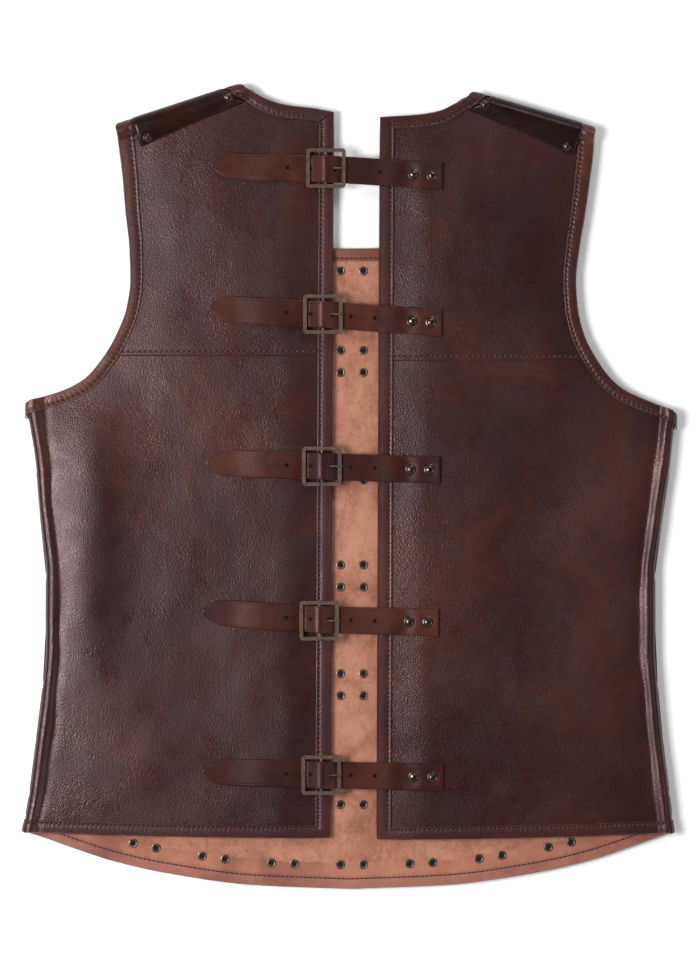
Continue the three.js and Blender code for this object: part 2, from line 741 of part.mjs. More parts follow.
function frontArmStations(half) {
  const column = frontShoulder(half).at(-1);
  const flatCount = strapRows.length;
  const side = vector(-half.sign * half.along.x, -half.along.y, 0);
  const chest = frontChest(half).at(-1).slice(0, -1).reverse();
  const arm = armColumn(half);
  const under = frontColumns(half).filter((u) => u > arm + 0.001)
    .map((u) => frontColumnPlan(half, u).at(-1)).map(({ out, y }) => frontPlace(half, out, y));
  const flats = [...column.slice(0, flatCount).reverse(), ...chest, ...under];
  const ys = foldAngles.map((_, i) => (i === 0 ? flats.at(-1).point.y : half.underarm.y));
  return [
    ...column.slice(flatCount).reverse().map((place) => frontStation(place, side)),
    ...flats.slice(0, -1).map((place, k) => {
      const square = squareTo(flats, k, 1);
      return frontStation(place, k === 0 ? side : vector(half.sign * square.out, square.y, 0));
    }),
    ...foldAngles.map((angle, i) => sideFoldStation(half, ys[i], angle, -bindingWidth)),
  ];
}

// ---- shoulder guards -----------------------------------------------------------------------

const guardAcross = [1, 0.55, 0.2];   // fractions of the depth of its back flap
const guardFoldAngles = [90, 60, 30, 0, -30, -60, -90];
const guardFrontReach = [12, 17];
const guardSteps = 6;
const neckRivet = 10.8;          // from the neck's corner along the shoulder
const neckRivetShare = 0.62;     // of the guard's depth there
const armRivet = 7.5;            // from the guard's outer end
const armRivetEdge = 4.6;        // from the guard's lower edge
const rivetRadius = 4.9;
const guardRivetRadius = 3.7;

function shoulderPoint(half, along, inset) {
  return {
    out: half.peak.out + half.along.x * along - half.upward.x * inset,
    y: half.peak.y + half.along.y * along - half.upward.y * inset,
  };
}

function guardRows(half, outer, inner) {
  const { neckEnd, neckSlant, armEnd, neckDepth, armDepth } = half.guard;
  const rows = [];
  for (let i = 0; i <= guardSteps; i += 1) {
    const t = i / guardSteps;
    const along = lerp(neckEnd, armEnd, t);
    const depth = lerp(neckDepth, armDepth, t);
    const back = guardAcross.map((f) => {
      const inset = lerp(foldReach + 1, depth, f);
      return shoulderPoint(half, along + neckSlant * Math.sqrt(f) * (1 - t), inset);
    }).map(({ out, y }) => backPlace(half, out, y));
    const base = shoulderPoint(half, along, foldReach);
    const fold = guardFoldAngles.map((angle) => shoulderFoldPlace(half, base, angle));
    const front = guardFrontReach.map((inset) => shoulderPoint(half, along, inset))
      .map(({ out, y }) => frontPlace(half, out, y));
    rows.push([...back, ...fold, ...front].map((place) => offset(place, outer, inner)));
  }
  return rows;
}

function guard(half) {
  const inner = leather / 2 + guardGap;
  return new Wall().patch(guardRows(half, inner + guardThickness, inner)).geometry();
}

// ---- straps, buckles and rivets ------------------------------------------------------------

const barInset = buckleSize / 2 - barWidth / 2;
const windowSize = buckleSize - 2 * barWidth;
const prongRadius = 1;
const centreBarRadius = 1.2;
const curlRadius = centreBarRadius + 0.35 + chapeThickness / 2;

// The highest leather under a strap's width at one place across the garment.
function topUnder(x, y) {
  const half = x < 0 ? leftHalf : rightHalf;
  const reach = strapWidth / 2;
  return Math.max(...[-reach, 0, reach].map((d) => backHeight(half, Math.abs(x), y + d))) + leather / 2;
}

function barHeightOf(row) {
  return topUnder(row.buckleX - barInset, row.buckleY) + barRise;
}

function strapMiddleY(row) {
  return smoothTable([
    { x: row.tipX, y: row.tipY },
    { x: row.buckleX, y: lerp(row.buckleY, lerp(row.tipY, row.endY, 0.49), 0.35) },
    { x: row.endX, y: row.endY },
  ], 'x', 'y');
}

// Height of the strap's middle layer: over the leather, over the short strap, under the
// buckle's two outer bars, over its middle one, and over both bindings.
function strapHeight(row) {
  const half = strapThickness / 2;
  const bar = barHeightOf(row);
  const chapeEnd = row.buckleX - chapeLength;
  const middle = strapMiddleY(row);
  const resting = (x) => ({ x, z: topUnder(x, middle(x)) + pulledGap + half });
  const overChape = (x) => ({ x, z: topUnder(x, row.buckleY) + clearance + chapeThickness + pulledGap + half });
  const underBar = (d) => ({ x: row.buckleX + d, z: bar - barHeight / 2 - pulledGap - half });
  const edge = rightHalf.open(row.endY);
  const bound = leather / 2 + clearance + bindingThickness + 1.5 * pulledGap + half;
  const overBinding = (x) => ({ x, z: backHeight(rightHalf, Math.max(x, edge), middle(x)) + bound });
  const rows = [
    resting(row.tipX),
    resting(row.tipX + 20),
    resting(chapeEnd - 11),
    { ...overChape(chapeEnd), x: chapeEnd - 2 },
    overChape(row.buckleX - 36),
    overChape(row.buckleX - 26),
    underBar(-barInset - 1.8),
    underBar(-barInset + 1.8),
    { x: row.buckleX, z: bar + curlRadius + chapeThickness / 2 + 2 * pulledGap + half },
    underBar(barInset - 1.8),
    underBar(barInset + 1.8),
    overBinding(edge - 3),
    overBinding(edge + bindingWidth),
    resting(edge + bindingWidth + 5),
    resting(row.endX - 20),
    resting(row.endX),
  ];
  return smoothTable(rows, 'x', 'z');
}

const strapTip = [
  { from: 0, width: 1.5 },
  { from: 3, width: 9 },
  { from: 8, width: 17 },
  { from: 13, width: 22 },
  { from: 18, width: 24.3 },
];

function strap(row) {
  const height = strapHeight(row);
  const middle = strapMiddleY(row);
  const tip = smoothTable(strapTip, 'from', 'width');
  const chapeEnd = row.buckleX - chapeLength;
  const edge = rightHalf.open(row.endY);
  const steps = [barInset + 1.8, barInset - 1.8, 11, 7.2, 3.6];
  const nearBuckle = [...steps.map((d) => -d), 0, ...steps].map((d) => row.buckleX + d);
  const xs = [0, 3, 8, 13, 18].map((d) => row.tipX + d)
    .concat([chapeEnd - 11, chapeEnd - 6, chapeEnd - 2, row.buckleX - 36, row.buckleX - 26], nearBuckle,
      [edge - 3, edge + 4, edge + bindingWidth, edge + bindingWidth + 5, row.endX - 20, row.endX])
    .sort((a, b) => a - b);
  const rows = xs.map((x) => {
    const slope = (height(x + 0.1) - height(x - 0.1)) / 0.2;
    const normal = vector(-slope, 0, 1).normalize();
    const width = tip(x - row.tipX) / 2;
    return [-width, width].map((d) => offset(
      { point: vector(x, middle(x) + d, height(x)), normal }, strapThickness / 2, -strapThickness / 2));
  });
  const slot = boxGeometry(slotLength, slotWidth, 20, row.buckleX + 7.4, row.buckleY, barHeightOf(row));
  return cut(new Wall().patch(rows).geometry(), slot);
}

function chape(row) {
  const bar = barHeightOf(row);
  const rest = clearance + chapeThickness / 2;
  const run = [-chapeLength, -36, -26, -barInset + 1.8, -11].map((d) => {
    const x = row.buckleX + d;
    return { point: vector(x, 0, topUnder(x, row.buckleY) + rest), normal: vector(0, 0, 1) };
  });
  run[4].point.z = lerp(run[3].point.z, bar - curlRadius, 0.45);
  const curl = [-90, -45, 0, 45, 90].map((angle) => {
    const across = Math.cos(radians(angle));
    const up = Math.sin(radians(angle));
    return {
      point: vector(row.buckleX + curlRadius * across, 0, bar + curlRadius * up),
      normal: vector(-across, 0, -up),
    };
  });
  const lip = { point: vector(row.buckleX - 1.2, 0, bar + curlRadius), normal: vector(0, 0, -1) };
  const rows = [...run, ...curl, lip].map(({ point, normal }) => [-1, 1].map((side) => offset({
    point: point.clone().setY(row.buckleY + (side * chapeWidth) / 2), normal,
  }, chapeThickness / 2, -chapeThickness / 2)));
  const slot = boxGeometry(slotLength, slotWidth + 0.6, 20, row.buckleX + 1.9, row.buckleY, bar);
  return cut(new Wall().patch(rows).geometry(), slot);
}

function roundedSquare(size, radius) {
  const h = size / 2;
  const path = new THREE.Shape();
  path.absarc(h - radius, h - radius, radius, 0, Math.PI / 2);
  path.absarc(-h + radius, h - radius, radius, Math.PI / 2, Math.PI);
  path.absarc(-h + radius, -h + radius, radius, Math.PI, 1.5 * Math.PI);
  path.absarc(h - radius, -h + radius, radius, 1.5 * Math.PI, 2 * Math.PI);
  return path;
}

function buckle(row) {
  const frame = roundedSquare(buckleSize, 3.2);
  frame.holes.push(roundedSquare(windowSize, 1));
  const ring = new THREE.ExtrudeGeometry(frame, { depth: barHeight, bevelEnabled: false, curveSegments: 2 });
  ring.translate(0, 0, -barHeight / 2);
  const bar = new THREE.CylinderGeometry(centreBarRadius, centreBarRadius, buckleSize - barWidth, 6);
  return join(ring, bar).translate(row.buckleX, row.buckleY, barHeightOf(row));
}

function prong(row) {
  const loop = new THREE.Shape().absarc(0, 0, 2.8, 0, 2 * Math.PI);
  loop.holes.push(new THREE.Path().absarc(0, 0, centreBarRadius + clearance, 0, 2 * Math.PI));
  const width = 2.4;
  const ring = new THREE.ExtrudeGeometry(loop, { depth: width, bevelEnabled: false, curveSegments: 8 });
  ring.translate(0, 0, -width / 2).rotateX(Math.PI / 2);
  const start = vector(2, 0, 1);
  const end = vector(barInset + 2.4, 0, barHeight / 2 + clearance + prongRadius);
  const length = end.distanceTo(start);
  const rod = new THREE.CylinderGeometry(prongRadius * 0.85, prongRadius, length, 6);
  rod.rotateZ(-Math.PI / 2).translate(length / 2, 0, 0);
  rod.rotateY(-Math.atan2(end.z - start.z, end.x - start.x)).translate(start.x, start.y, start.z);
  return join(ring, rod).translate(row.buckleX, row.buckleY, barHeightOf(row));
}

function rivetHead(radius, height) {
  const profile = [[0, 0], [radius, 0], [radius * 0.86, height * 0.5], [radius * 0.5, height * 0.88], [0, height]];
  return new THREE.LatheGeometry(profile.map(([r, z]) => new THREE.Vector2(r, z)), 8).rotateX(Math.PI / 2);
}

function strapRivet(row, fromEnd) {
  const x = row.endX - fromEnd;
  const height = strapHeight(row);
  const slope = (height(x + 4) - height(x - 4)) / 8;
  return rivetHead(rivetRadius, 2.4).rotateY(-Math.atan(slope))
    .translate(x, strapMiddleY(row)(x), height(x) + strapThickness / 2 + clearance);
}

// A guard's rivet is set square to the leather, and its foot is cut to the guard's curve.
function guardRivet(half, along, inset) {
  const { out, y } = shoulderPoint(half, along, inset);
  const place = backPlace(half, out, y);
  const top = leather / 2 + guardGap + guardThickness;
  const foot = place.point.clone().addScaledVector(place.normal, top - 0.5);
  const turn = new THREE.Quaternion().setFromUnitVectors(vector(0, 0, 1), place.normal);
  const head = rivetHead(guardRivetRadius, 2.8).applyQuaternion(turn).translate(foot.x, foot.y, foot.z);
  return cut(cut(head, guard(half)), guard(half).translate(0, 0, clearance));
}

// ---- booleans ------------------------------------------------------------------------------

function boxGeometry(length, width, height, x, y, z) {
  return new THREE.BoxGeometry(length, width, height).translate(x, y, z);
}

function toManifold(geometry) {
  const bare = new THREE.BufferGeometry();
  bare.setAttribute('position', geometry.getAttribute('position').clone());
  if (geometry.index) bare.setIndex(geometry.index.clone());
  const merged = mergeVertices(bare, 1e-4);
  return new wasm.Manifold(new wasm.Mesh({
    numProp: 3,
    vertProperties: merged.attributes.position.array,
    triVerts: new Uint32Array(merged.index.array),
  }));
}

function fromManifold(solid) {
  const mesh = solid.getMesh();
  const geometry = new THREE.BufferGeometry();
  geometry.setAttribute('position', new THREE.Float32BufferAttribute(mesh.vertProperties, 3));
  geometry.setIndex([...mesh.triVerts]);
  return geometry;
}

function cut(geometry, tool) {
  return fromManifold(toManifold(geometry).subtract(toManifold(tool)));
}

function join(first, second) {
  return fromManifold(toManifold(first).add(toManifold(second)));
}

// ---- plates --------------------------------------------------------------------------------

// Row edges down the front and the column edges that the plates share, with a gap between.
const plateRowEdges = [203, 111.5, 14.5, -82, -180, -278, -352];
const plateColumns = [-247.3, -185, -122.7, -60.3, 2, 64.4, 126.8, 189.2, 251.6];
const plateGap = 6;
const plateMargin = 15;          // bare leather between plates and an edge
const plateArmMargin = 10;
const tieWidth = 8;              // the strip that ties a row's plates together

function halfAt(x) {
  return x < garmentCentre ? leftHalf : rightHalf;
}

function plateTopLimit(x) {
  const half = halfAt(x);
  const out = Math.abs(x);
  const chest = frontArmOut(half, chestY) - plateMargin;
  return out > chest - 6 ? frontArmY(half, Math.min(Math.max(out, 207), half.underarm.out)) - plateMargin : 400;
}

function plateBottomLimit(x) {
  return frontHem(Math.abs(x)) + plateMargin - 1;
}

function plateRow(top, bottom) {
  const middle = (top + bottom) / 2;
  const leftEnd = -leftHalf.side(middle);
  const rightEnd = rightHalf.side(middle);
  const reachesSides = top < 100;
  const inner = reachesSides ? plateColumns : plateColumns.slice(1, -1);
  const armLimit = (half) => Math.min(...[150, 185, 214].map((y) => frontArmOut(half, y))) - plateArmMargin;
  const edges = reachesSides ? [leftEnd, ...inner, rightEnd] : inner;
  if (!reachesSides) {
    edges[0] = Math.max(edges[0], -armLimit(leftHalf));
    edges[edges.length - 1] = Math.min(edges.at(-1), armLimit(rightHalf));
  }
  const upper = [];
  const lower = [];
  for (let i = 0; i + 1 < edges.length; i += 1) {
    const first = i === 0 && reachesSides;
    const last = i + 2 === edges.length && reachesSides;
    const x0 = edges[i] + (first ? 0 : plateGap / 2);
    const x1 = edges[i + 1] - (last ? 0 : plateGap / 2);
    const high = (x) => Math.min(top - plateGap / 2, plateTopLimit(x));
    const low = (x) => Math.max(bottom + plateGap / 2, plateBottomLimit(x));
    const side = (y) => (first ? -leftHalf.side(y) : rightHalf.side(y));
    const corners = [high(x0), high(x1), low(x0), low(x1)];
    const [x2, x3] = first ? [side(corners[0]), side(corners[2])] : [x0, x0];
    const [x4, x5] = last ? [side(corners[1]), side(corners[3])] : [x1, x1];
    if (i > 0) {
      upper.push([x0, tieLevel(x0, top, bottom) + tieWidth / 2]);
      lower.push([x0, tieLevel(x0, top, bottom) - tieWidth / 2]);
    }
    const firstY = (corners[0] + corners[2]) / 2;
    if (first) upper.push([side(firstY), firstY]);
    upper.push([x2, corners[0]], [x4, corners[1]]);
    lower.push([x3, corners[2]], [x5, corners[3]]);
    const lastY = (corners[1] + corners[3]) / 2;
    if (last) upper.push([side(lastY), lastY]);
    if (i + 2 < edges.length) {
      upper.push([x1, tieLevel(x1, top, bottom) + tieWidth / 2]);
      lower.push([x1, tieLevel(x1, top, bottom) - tieWidth / 2]);
    }
  }
  const outline = [...upper, ...lower.reverse()].map(([x, y]) => new THREE.Vector2(x, y));
  return new THREE.ExtrudeGeometry(new THREE.Shape(outline), { depth: plateThickness, bevelEnabled: false });
}

// The ties run level across a row, but stay inside plates that are cut short by an edge.
function tieLevel(x, top, bottom) {
  const high = Math.min(top, plateTopLimit(x));
  const low = Math.max(bottom, plateBottomLimit(x));
  return (high + low) / 2;
}

// ---- scene ---------------------------------------------------------------------------------

const group = new THREE.Group();

function finish(color, roughness, metalness = 0) {
  return new THREE.MeshStandardMaterial({ color, roughness, metalness });
}

function add(name, geometry, material) {
  const mesh = new THREE.Mesh(geometry, material);
  mesh.name = name;
  group.add(mesh);
}

const suede = finish(0x9c6a4c, 0.9);
const darkLeather = finish(0x43251f, 0.42);
const boundLeather = finish(0x5e3122, 0.4);
const strapLeather = finish(0x4e2a1f, 0.4);
const oldBrass = finish(0x5b4632, 0.45, 0.9);

add('front_panel', frontPanel(), suede);
halves.forEach((half) => {
  add(`back_lower_${half.name}`, lowerBack(half), darkLeather);
  add(`back_upper_${half.name}`, yoke(half), darkLeather);
  Object.entries(backBindings(half)).forEach(([edge, geometry]) => {
    add(`back_${edge}_binding_${half.name}`, geometry, boundLeather);
  });
  add(`front_armhole_binding_${half.name}`, bindingWall(frontArmStations(half)), boundLeather);
  add(`shoulder_guard_${half.name}`, guard(half), darkLeather);
  const { neckDepth, armDepth, armEnd } = half.guard;
  add(`guard_rivet_neck_${half.name}`, guardRivet(half, neckRivet, neckDepth * neckRivetShare), oldBrass);
  add(`guard_rivet_arm_${half.name}`, guardRivet(half, armEnd - armRivet, armDepth - armRivetEdge), oldBrass);
});

const [leftHem, rightHem] = halves.map(frontHemStations);
add('front_hem_binding', bindingWall([...leftHem.reverse(), ...rightHem.slice(1)]), boundLeather);
const [leftNeck, rightNeck] = halves.map(frontNeckStations);
add('front_neck_binding', bindingWall([...leftNeck, ...rightNeck.reverse().slice(1)]), boundLeather);

strapTable.forEach((row, i) => {
  const number = i + 1;
  add(`strap_${number}`, strap(row), strapLeather);
  add(`chape_${number}`, chape(row), strapLeather);
  add(`buckle_${number}`, buckle(row), oldBrass);
  add(`prong_${number}`, prong(row), oldBrass);
  add(`strap_${number}_rivet_inner`, strapRivet(row, 26.5), oldBrass);
  add(`strap_${number}_rivet_outer`, strapRivet(row, 9.5), oldBrass);
});

for (let i = 0; i + 1 < plateRowEdges.length; i += 1) {
  add(`plate_row_${i + 1}`, plateRow(plateRowEdges[i], plateRowEdges[i + 1]), darkLeather);
}

export default group;
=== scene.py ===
import math
import bmesh
import bpy
import numpy as np
from mathutils import Matrix, Vector


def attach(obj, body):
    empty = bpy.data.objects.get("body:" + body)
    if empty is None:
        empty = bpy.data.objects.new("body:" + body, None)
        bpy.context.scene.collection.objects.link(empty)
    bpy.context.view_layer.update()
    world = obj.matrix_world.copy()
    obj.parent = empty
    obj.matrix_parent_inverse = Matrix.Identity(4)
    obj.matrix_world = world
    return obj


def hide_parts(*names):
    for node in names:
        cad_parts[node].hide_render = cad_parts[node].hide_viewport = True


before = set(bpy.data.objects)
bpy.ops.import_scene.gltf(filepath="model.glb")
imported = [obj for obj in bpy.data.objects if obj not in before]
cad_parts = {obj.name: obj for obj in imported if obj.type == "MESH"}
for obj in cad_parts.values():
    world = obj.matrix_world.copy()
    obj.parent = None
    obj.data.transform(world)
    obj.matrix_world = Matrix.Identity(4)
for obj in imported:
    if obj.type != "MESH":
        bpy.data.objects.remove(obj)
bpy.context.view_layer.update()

# A leather brigandine lying on its plated front, seen on its buckled back.
# Lengths are worked out in millimetres and turned into metres when a mesh is made.
# Each half is measured outwards from X = 0: "out" is that distance, "y" runs to the neck.
millimetre = 0.001
bpy.ops.object.select_all(action="DESELECT")
print("frame loaded")

# the camera looks straight down on the garment
view = {"centreX": 0.2, "centreY": -4.0, "distance": 3600.0, "frameHeight": 882.0, "lens": 120.0}

cameraData = bpy.data.cameras.new("topCamera")
camera = bpy.data.objects.new("topCamera", cameraData)
bpy.context.scene.collection.objects.link(camera)
camera.location = (view["centreX"] * millimetre, view["centreY"] * millimetre, (view["distance"] + 12) * millimetre)
cameraData.sensor_fit = "VERTICAL"
cameraData.lens = view["lens"]
cameraData.sensor_height = view["lens"] * view["frameHeight"] / view["distance"]
bpy.context.scene.camera = camera

bpy.ops.mesh.primitive_plane_add(size=16, location=(0, 0, -0.0004))
floor = bpy.context.object
floor.name = "studioFloor"

studio = {
    "key": {"at": (-1.16, -0.02, 1.85), "size": (0.85, 0.85), "power": 50},
    "top": {"at": (0.55, 2.0, 2.2), "size": (1.5, 0.7), "power": 20},
    "fill": {"at": (2.1, -1.0, 1.6), "size": (1.2, 1.2), "power": 9},
    "ceiling": 0.04, "walls": 0.8,
}
for lampName in ("key", "top", "fill"):
    lamp = studio[lampName]
    lampData = bpy.data.lights.new(lampName + "Light", "AREA")
    lampData.shape = "RECTANGLE"
    lampData.size, lampData.size_y = lamp["size"]
    lampData.energy = lamp["power"]
    lampObject = bpy.data.objects.new(lampName + "Light", lampData)
    bpy.context.scene.collection.objects.link(lampObject)
    lampObject.location = lamp["at"]
    lampObject.rotation_euler = (Vector((0, 0, 0)) - Vector(lamp["at"])).to_track_quat("-Z", "Y").to_euler()
# bright walls under a dim ceiling, so that flat leather doesn't turn milky
world = bpy.data.worlds.new("studioAir")
world.use_nodes = True
air = world.node_tree
airPlace = air.nodes.new("ShaderNodeTexCoord")
airHeight = air.nodes.new("ShaderNodeSeparateXYZ")
airRamp = air.nodes.new("ShaderNodeMapRange")
airRamp.interpolation_type = "SMOOTHSTEP"
for key, value in {"From Min": 0.4, "From Max": 0.8, "To Min": studio["walls"], "To Max": studio["ceiling"]}.items():
    airRamp.inputs[key].default_value = value
air.links.new(airPlace.outputs["Generated"], airHeight.inputs["Vector"])
air.links.new(airHeight.outputs["Z"], airRamp.inputs["Value"])
air.links.new(airRamp.outputs["Result"], air.nodes["Background"].inputs["Strength"])
air.nodes["Background"].inputs["Color"].default_value = (0.98, 0.985, 1.0, 1)
bpy.context.scene.world = world
bpy.context.scene.view_settings.view_transform = "Standard"
print("studio ready")


class Wire:
    # a shader socket that can be added and multiplied like a number
    def __init__(self, finish, socket):
        self.finish = finish
        self.socket = socket

    def joined(self, operation, other):
        return self.finish.node("ShaderNodeMath", {"operation": operation}, {0: self, 1: other})["Value"]

    def __add__(self, other):
        return self.joined("ADD", other)

    def __mul__(self, other):
        return self.joined("MULTIPLY", other)


class Outputs:
    def __init__(self, finish, node):
        self.finish = finish
        self.node = node

    def __getitem__(self, key):
        return Wire(self.finish, self.node.outputs[key])


class Finish:
    # one material, with its nodes made by one method
    def __init__(self, name):
        self.material = bpy.data.materials.new(name)
        self.material.use_nodes = True
        self.tree = self.material.node_tree
        self.shader = self.tree.nodes["Principled BSDF"]
        self.place = self.node("ShaderNodeTexCoord")["Object"]

    def node(self, kind, settings=None, sockets=None):
        made = self.tree.nodes.new(kind)
        for key, value in (settings or {}).items():
            if key == "stops":
                ramp = made.color_ramp
                while len(ramp.elements) < len(value):
                    ramp.elements.new(0.5)
                for element, (position, color) in zip(ramp.elements, value):
                    element.position = position
                    element.color = color if isinstance(color, tuple) else (color, color, color, 1)
            else:
                setattr(made, key, value)
        for key, value in (sockets or {}).items():
            self.feed(made.inputs[key], value)
        return Outputs(self, made)

    def feed(self, socket, value):
        if isinstance(value, Wire):
            self.tree.links.new(value.socket, socket)
        elif socket.type == "RGBA" and len(value) == 3:
            socket.default_value = (*value, 1)
        else:
            socket.default_value = value

    def stretched(self, scale, turn=0.0):
        return self.node("ShaderNodeMapping", {"vector_type": "POINT"},
                         {"Vector": self.place, "Scale": scale, "Rotation": (0, 0, turn)})["Vector"]

    def noise(self, scale, detail=3.0, roughness=0.55, distortion=0.0, vector=None):
        return self.node("ShaderNodeTexNoise", {"noise_dimensions": "3D"}, {
            "Vector": vector or self.place, "Scale": scale, "Detail": detail,
            "Roughness": roughness, "Distortion": distortion})["Fac"]

    def cells(self, scale, smooth=False):
        settings = {"feature": "SMOOTH_F1" if smooth else "F1"}
        return self.node("ShaderNodeTexVoronoi", settings, {"Vector": self.place, "Scale": scale})["Distance"]

    def ramp(self, factor, *stops):
        return self.node("ShaderNodeValToRGB", {"stops": stops}, {"Fac": factor})["Color"]

    def level(self, factor, low, high, fromLow=0.0, fromHigh=1.0):
        return self.node("ShaderNodeMapRange", {"interpolation_type": "SMOOTHSTEP"}, {
            "Value": factor, "From Min": fromLow, "From Max": fromHigh, "To Min": low, "To Max": high})["Result"]

    def mix(self, factor, first, second):
        made = self.node("ShaderNodeMix", {"data_type": "RGBA", "clamp_result": True})
        inputs = [socket for socket in made.node.inputs if socket.enabled]
        self.feed(inputs[0], factor)
        self.feed(inputs[1], first)
        self.feed(inputs[2], second)
        return Wire(self, [socket for socket in made.node.outputs if socket.enabled][0])

    def bump(self, height, distance, strength=1.0, normal=None):
        sockets = {"Height": height, "Distance": distance * millimetre, "Strength": strength}
        if normal:
            sockets["Normal"] = normal
        return self.node("ShaderNodeBump", {}, sockets)["Normal"]

    def done(self, **sockets):
        for key, value in sockets.items():
            name = {"color": "Base Color", "roughness": "Roughness", "metallic": "Metallic", "normal": "Normal",
                    "specular": "Specular IOR Level", "tint": "Specular Tint"}[key]
            self.feed(self.shader.inputs[name], value)
        return self.material


waxTint = (1.0, 0.76, 0.80, 1)   # the warm cast of light that waxed leather throws back
grainHeight = {"pebble": -0.26, "fine": 0.12, "streak": 0.035, "billow": 2.6}


def leatherFinish(name, dark, middle, light, gloss, grain=1.0, creases=1.0, mottling=1.0, billow=0.0, shine=0.42):
    finish = Finish(name)
    clouds = finish.noise(7, 4, 0.6, 0.4)
    patches = finish.noise(24, 5, 0.62, 0.5, vector=finish.stretched((1, 0.8, 1), 0.4))
    rubbed = finish.noise(140, 4, 0.65, 0.3)
    reach = 0.16 / mottling          # a short reach parts light and dark patches sharply
    tone = finish.level(clouds * 0.5 + patches * 0.38 + rubbed * 0.12, 0, 1, 0.5 - reach, 0.5 + reach)
    color = finish.ramp(tone, (0.0, (*dark, 1)), (0.5, (*middle, 1)), (1.0, (*light, 1)))
    pebbles = finish.cells(860, smooth=True)
    pores = finish.cells(1100)
    fine = finish.noise(1500, 3, 0.6)
    pull = finish.noise(1, 4, 0.6, 0.3, vector=finish.stretched((210, 34, 60), 0.5))
    streaks = finish.level(pull, 0, 1, 0.44, 0.66) * finish.level(finish.noise(11, 2), 0, 1, 0.5, 0.62)
    color = finish.mix(finish.level(pores, 0.5, 0.0, 0.08, 0.3), color, dark)
    rough = finish.level(patches, gloss + 0.07, gloss - 0.06, 0.35, 0.65) + finish.level(fine, -0.04, 0.05, 0.3, 0.7)
    normal = finish.bump(pebbles, grainHeight["pebble"] * grain, 0.75)
    normal = finish.bump(fine, grainHeight["fine"] * grain, 0.6, normal)
    normal = finish.bump(streaks, grainHeight["streak"] * creases, 0.6, normal)
    normal = finish.bump(finish.noise(13, 2, 0.45), grainHeight["billow"] * billow, 1.0, normal)
    return finish.done(color=color, roughness=rough, normal=normal, specular=shine, tint=waxTint)


def suedeFinish(name, dark, middle, light):
    finish = Finish(name)
    clouds = finish.noise(16, 5, 0.65, 0.6)
    fibres = finish.noise(520, 5, 0.75, 0.5)
    streaks = finish.noise(95, 6, 0.7, 0.9, vector=finish.stretched((1, 0.55, 1), 0.2))
    tone = finish.level(clouds * 0.45 + streaks * 0.3 + fibres * 0.25, 0, 1, 0.36, 0.62)
    color = finish.ramp(tone, (0.0, (*dark, 1)), (0.5, (*middle, 1)), (1.0, (*light, 1)))
    specks = finish.level(finish.noise(900, 3, 0.7), 0, 0.55, 0.58, 0.72)
    color = finish.mix(specks, color, dark)
    normal = finish.bump(fibres, 0.5, 0.7)
    normal = finish.bump(streaks, 0.6, 0.5, normal)
    return finish.done(color=color, roughness=0.93, normal=normal, specular=0.22)


def brassFinish(name, dark, light, gloss, metal=0.92):
    finish = Finish(name)
    patina = finish.noise(210, 5, 0.65, 0.5)
    spots = finish.noise(900, 4, 0.7)
    tone = finish.level(patina * 0.65 + spots * 0.35, 0, 1, 0.38, 0.64)
    color = finish.ramp(tone, (0.0, (*dark, 1)), (1.0, (*light, 1)))
    rough = finish.level(patina, gloss + 0.16, gloss - 0.04, 0.35, 0.65)
    normal = finish.bump(spots, 0.05, 0.5)
    return finish.done(color=color, roughness=rough, metallic=metal, normal=normal)


def threadFinish(name, dark, light):
    finish = Finish(name)
    twistAndGlint = finish.noise(1400, 2, 0.5)
    # the raised strands are coloured lighter: partly the thread's own varying tone, partly a painted highlight along
    # the twist
    color = finish.ramp(finish.level(twistAndGlint, 0, 1, 0.4, 0.62), (0.0, (*dark, 1)), (1.0, (*light, 1)))
    return finish.done(color=color, roughness=0.42, normal=finish.bump(twistAndGlint, 0.12, 0.6))


def plainFinish(name, color, roughness):
    finish = Finish(name)
    dust = finish.noise(3, 2, 0.5)
    return finish.done(color=finish.ramp(dust, (0.3, (*color, 1)), (0.7, (*[c * 0.995 for c in color], 1))),
                       roughness=roughness, specular=0.2)


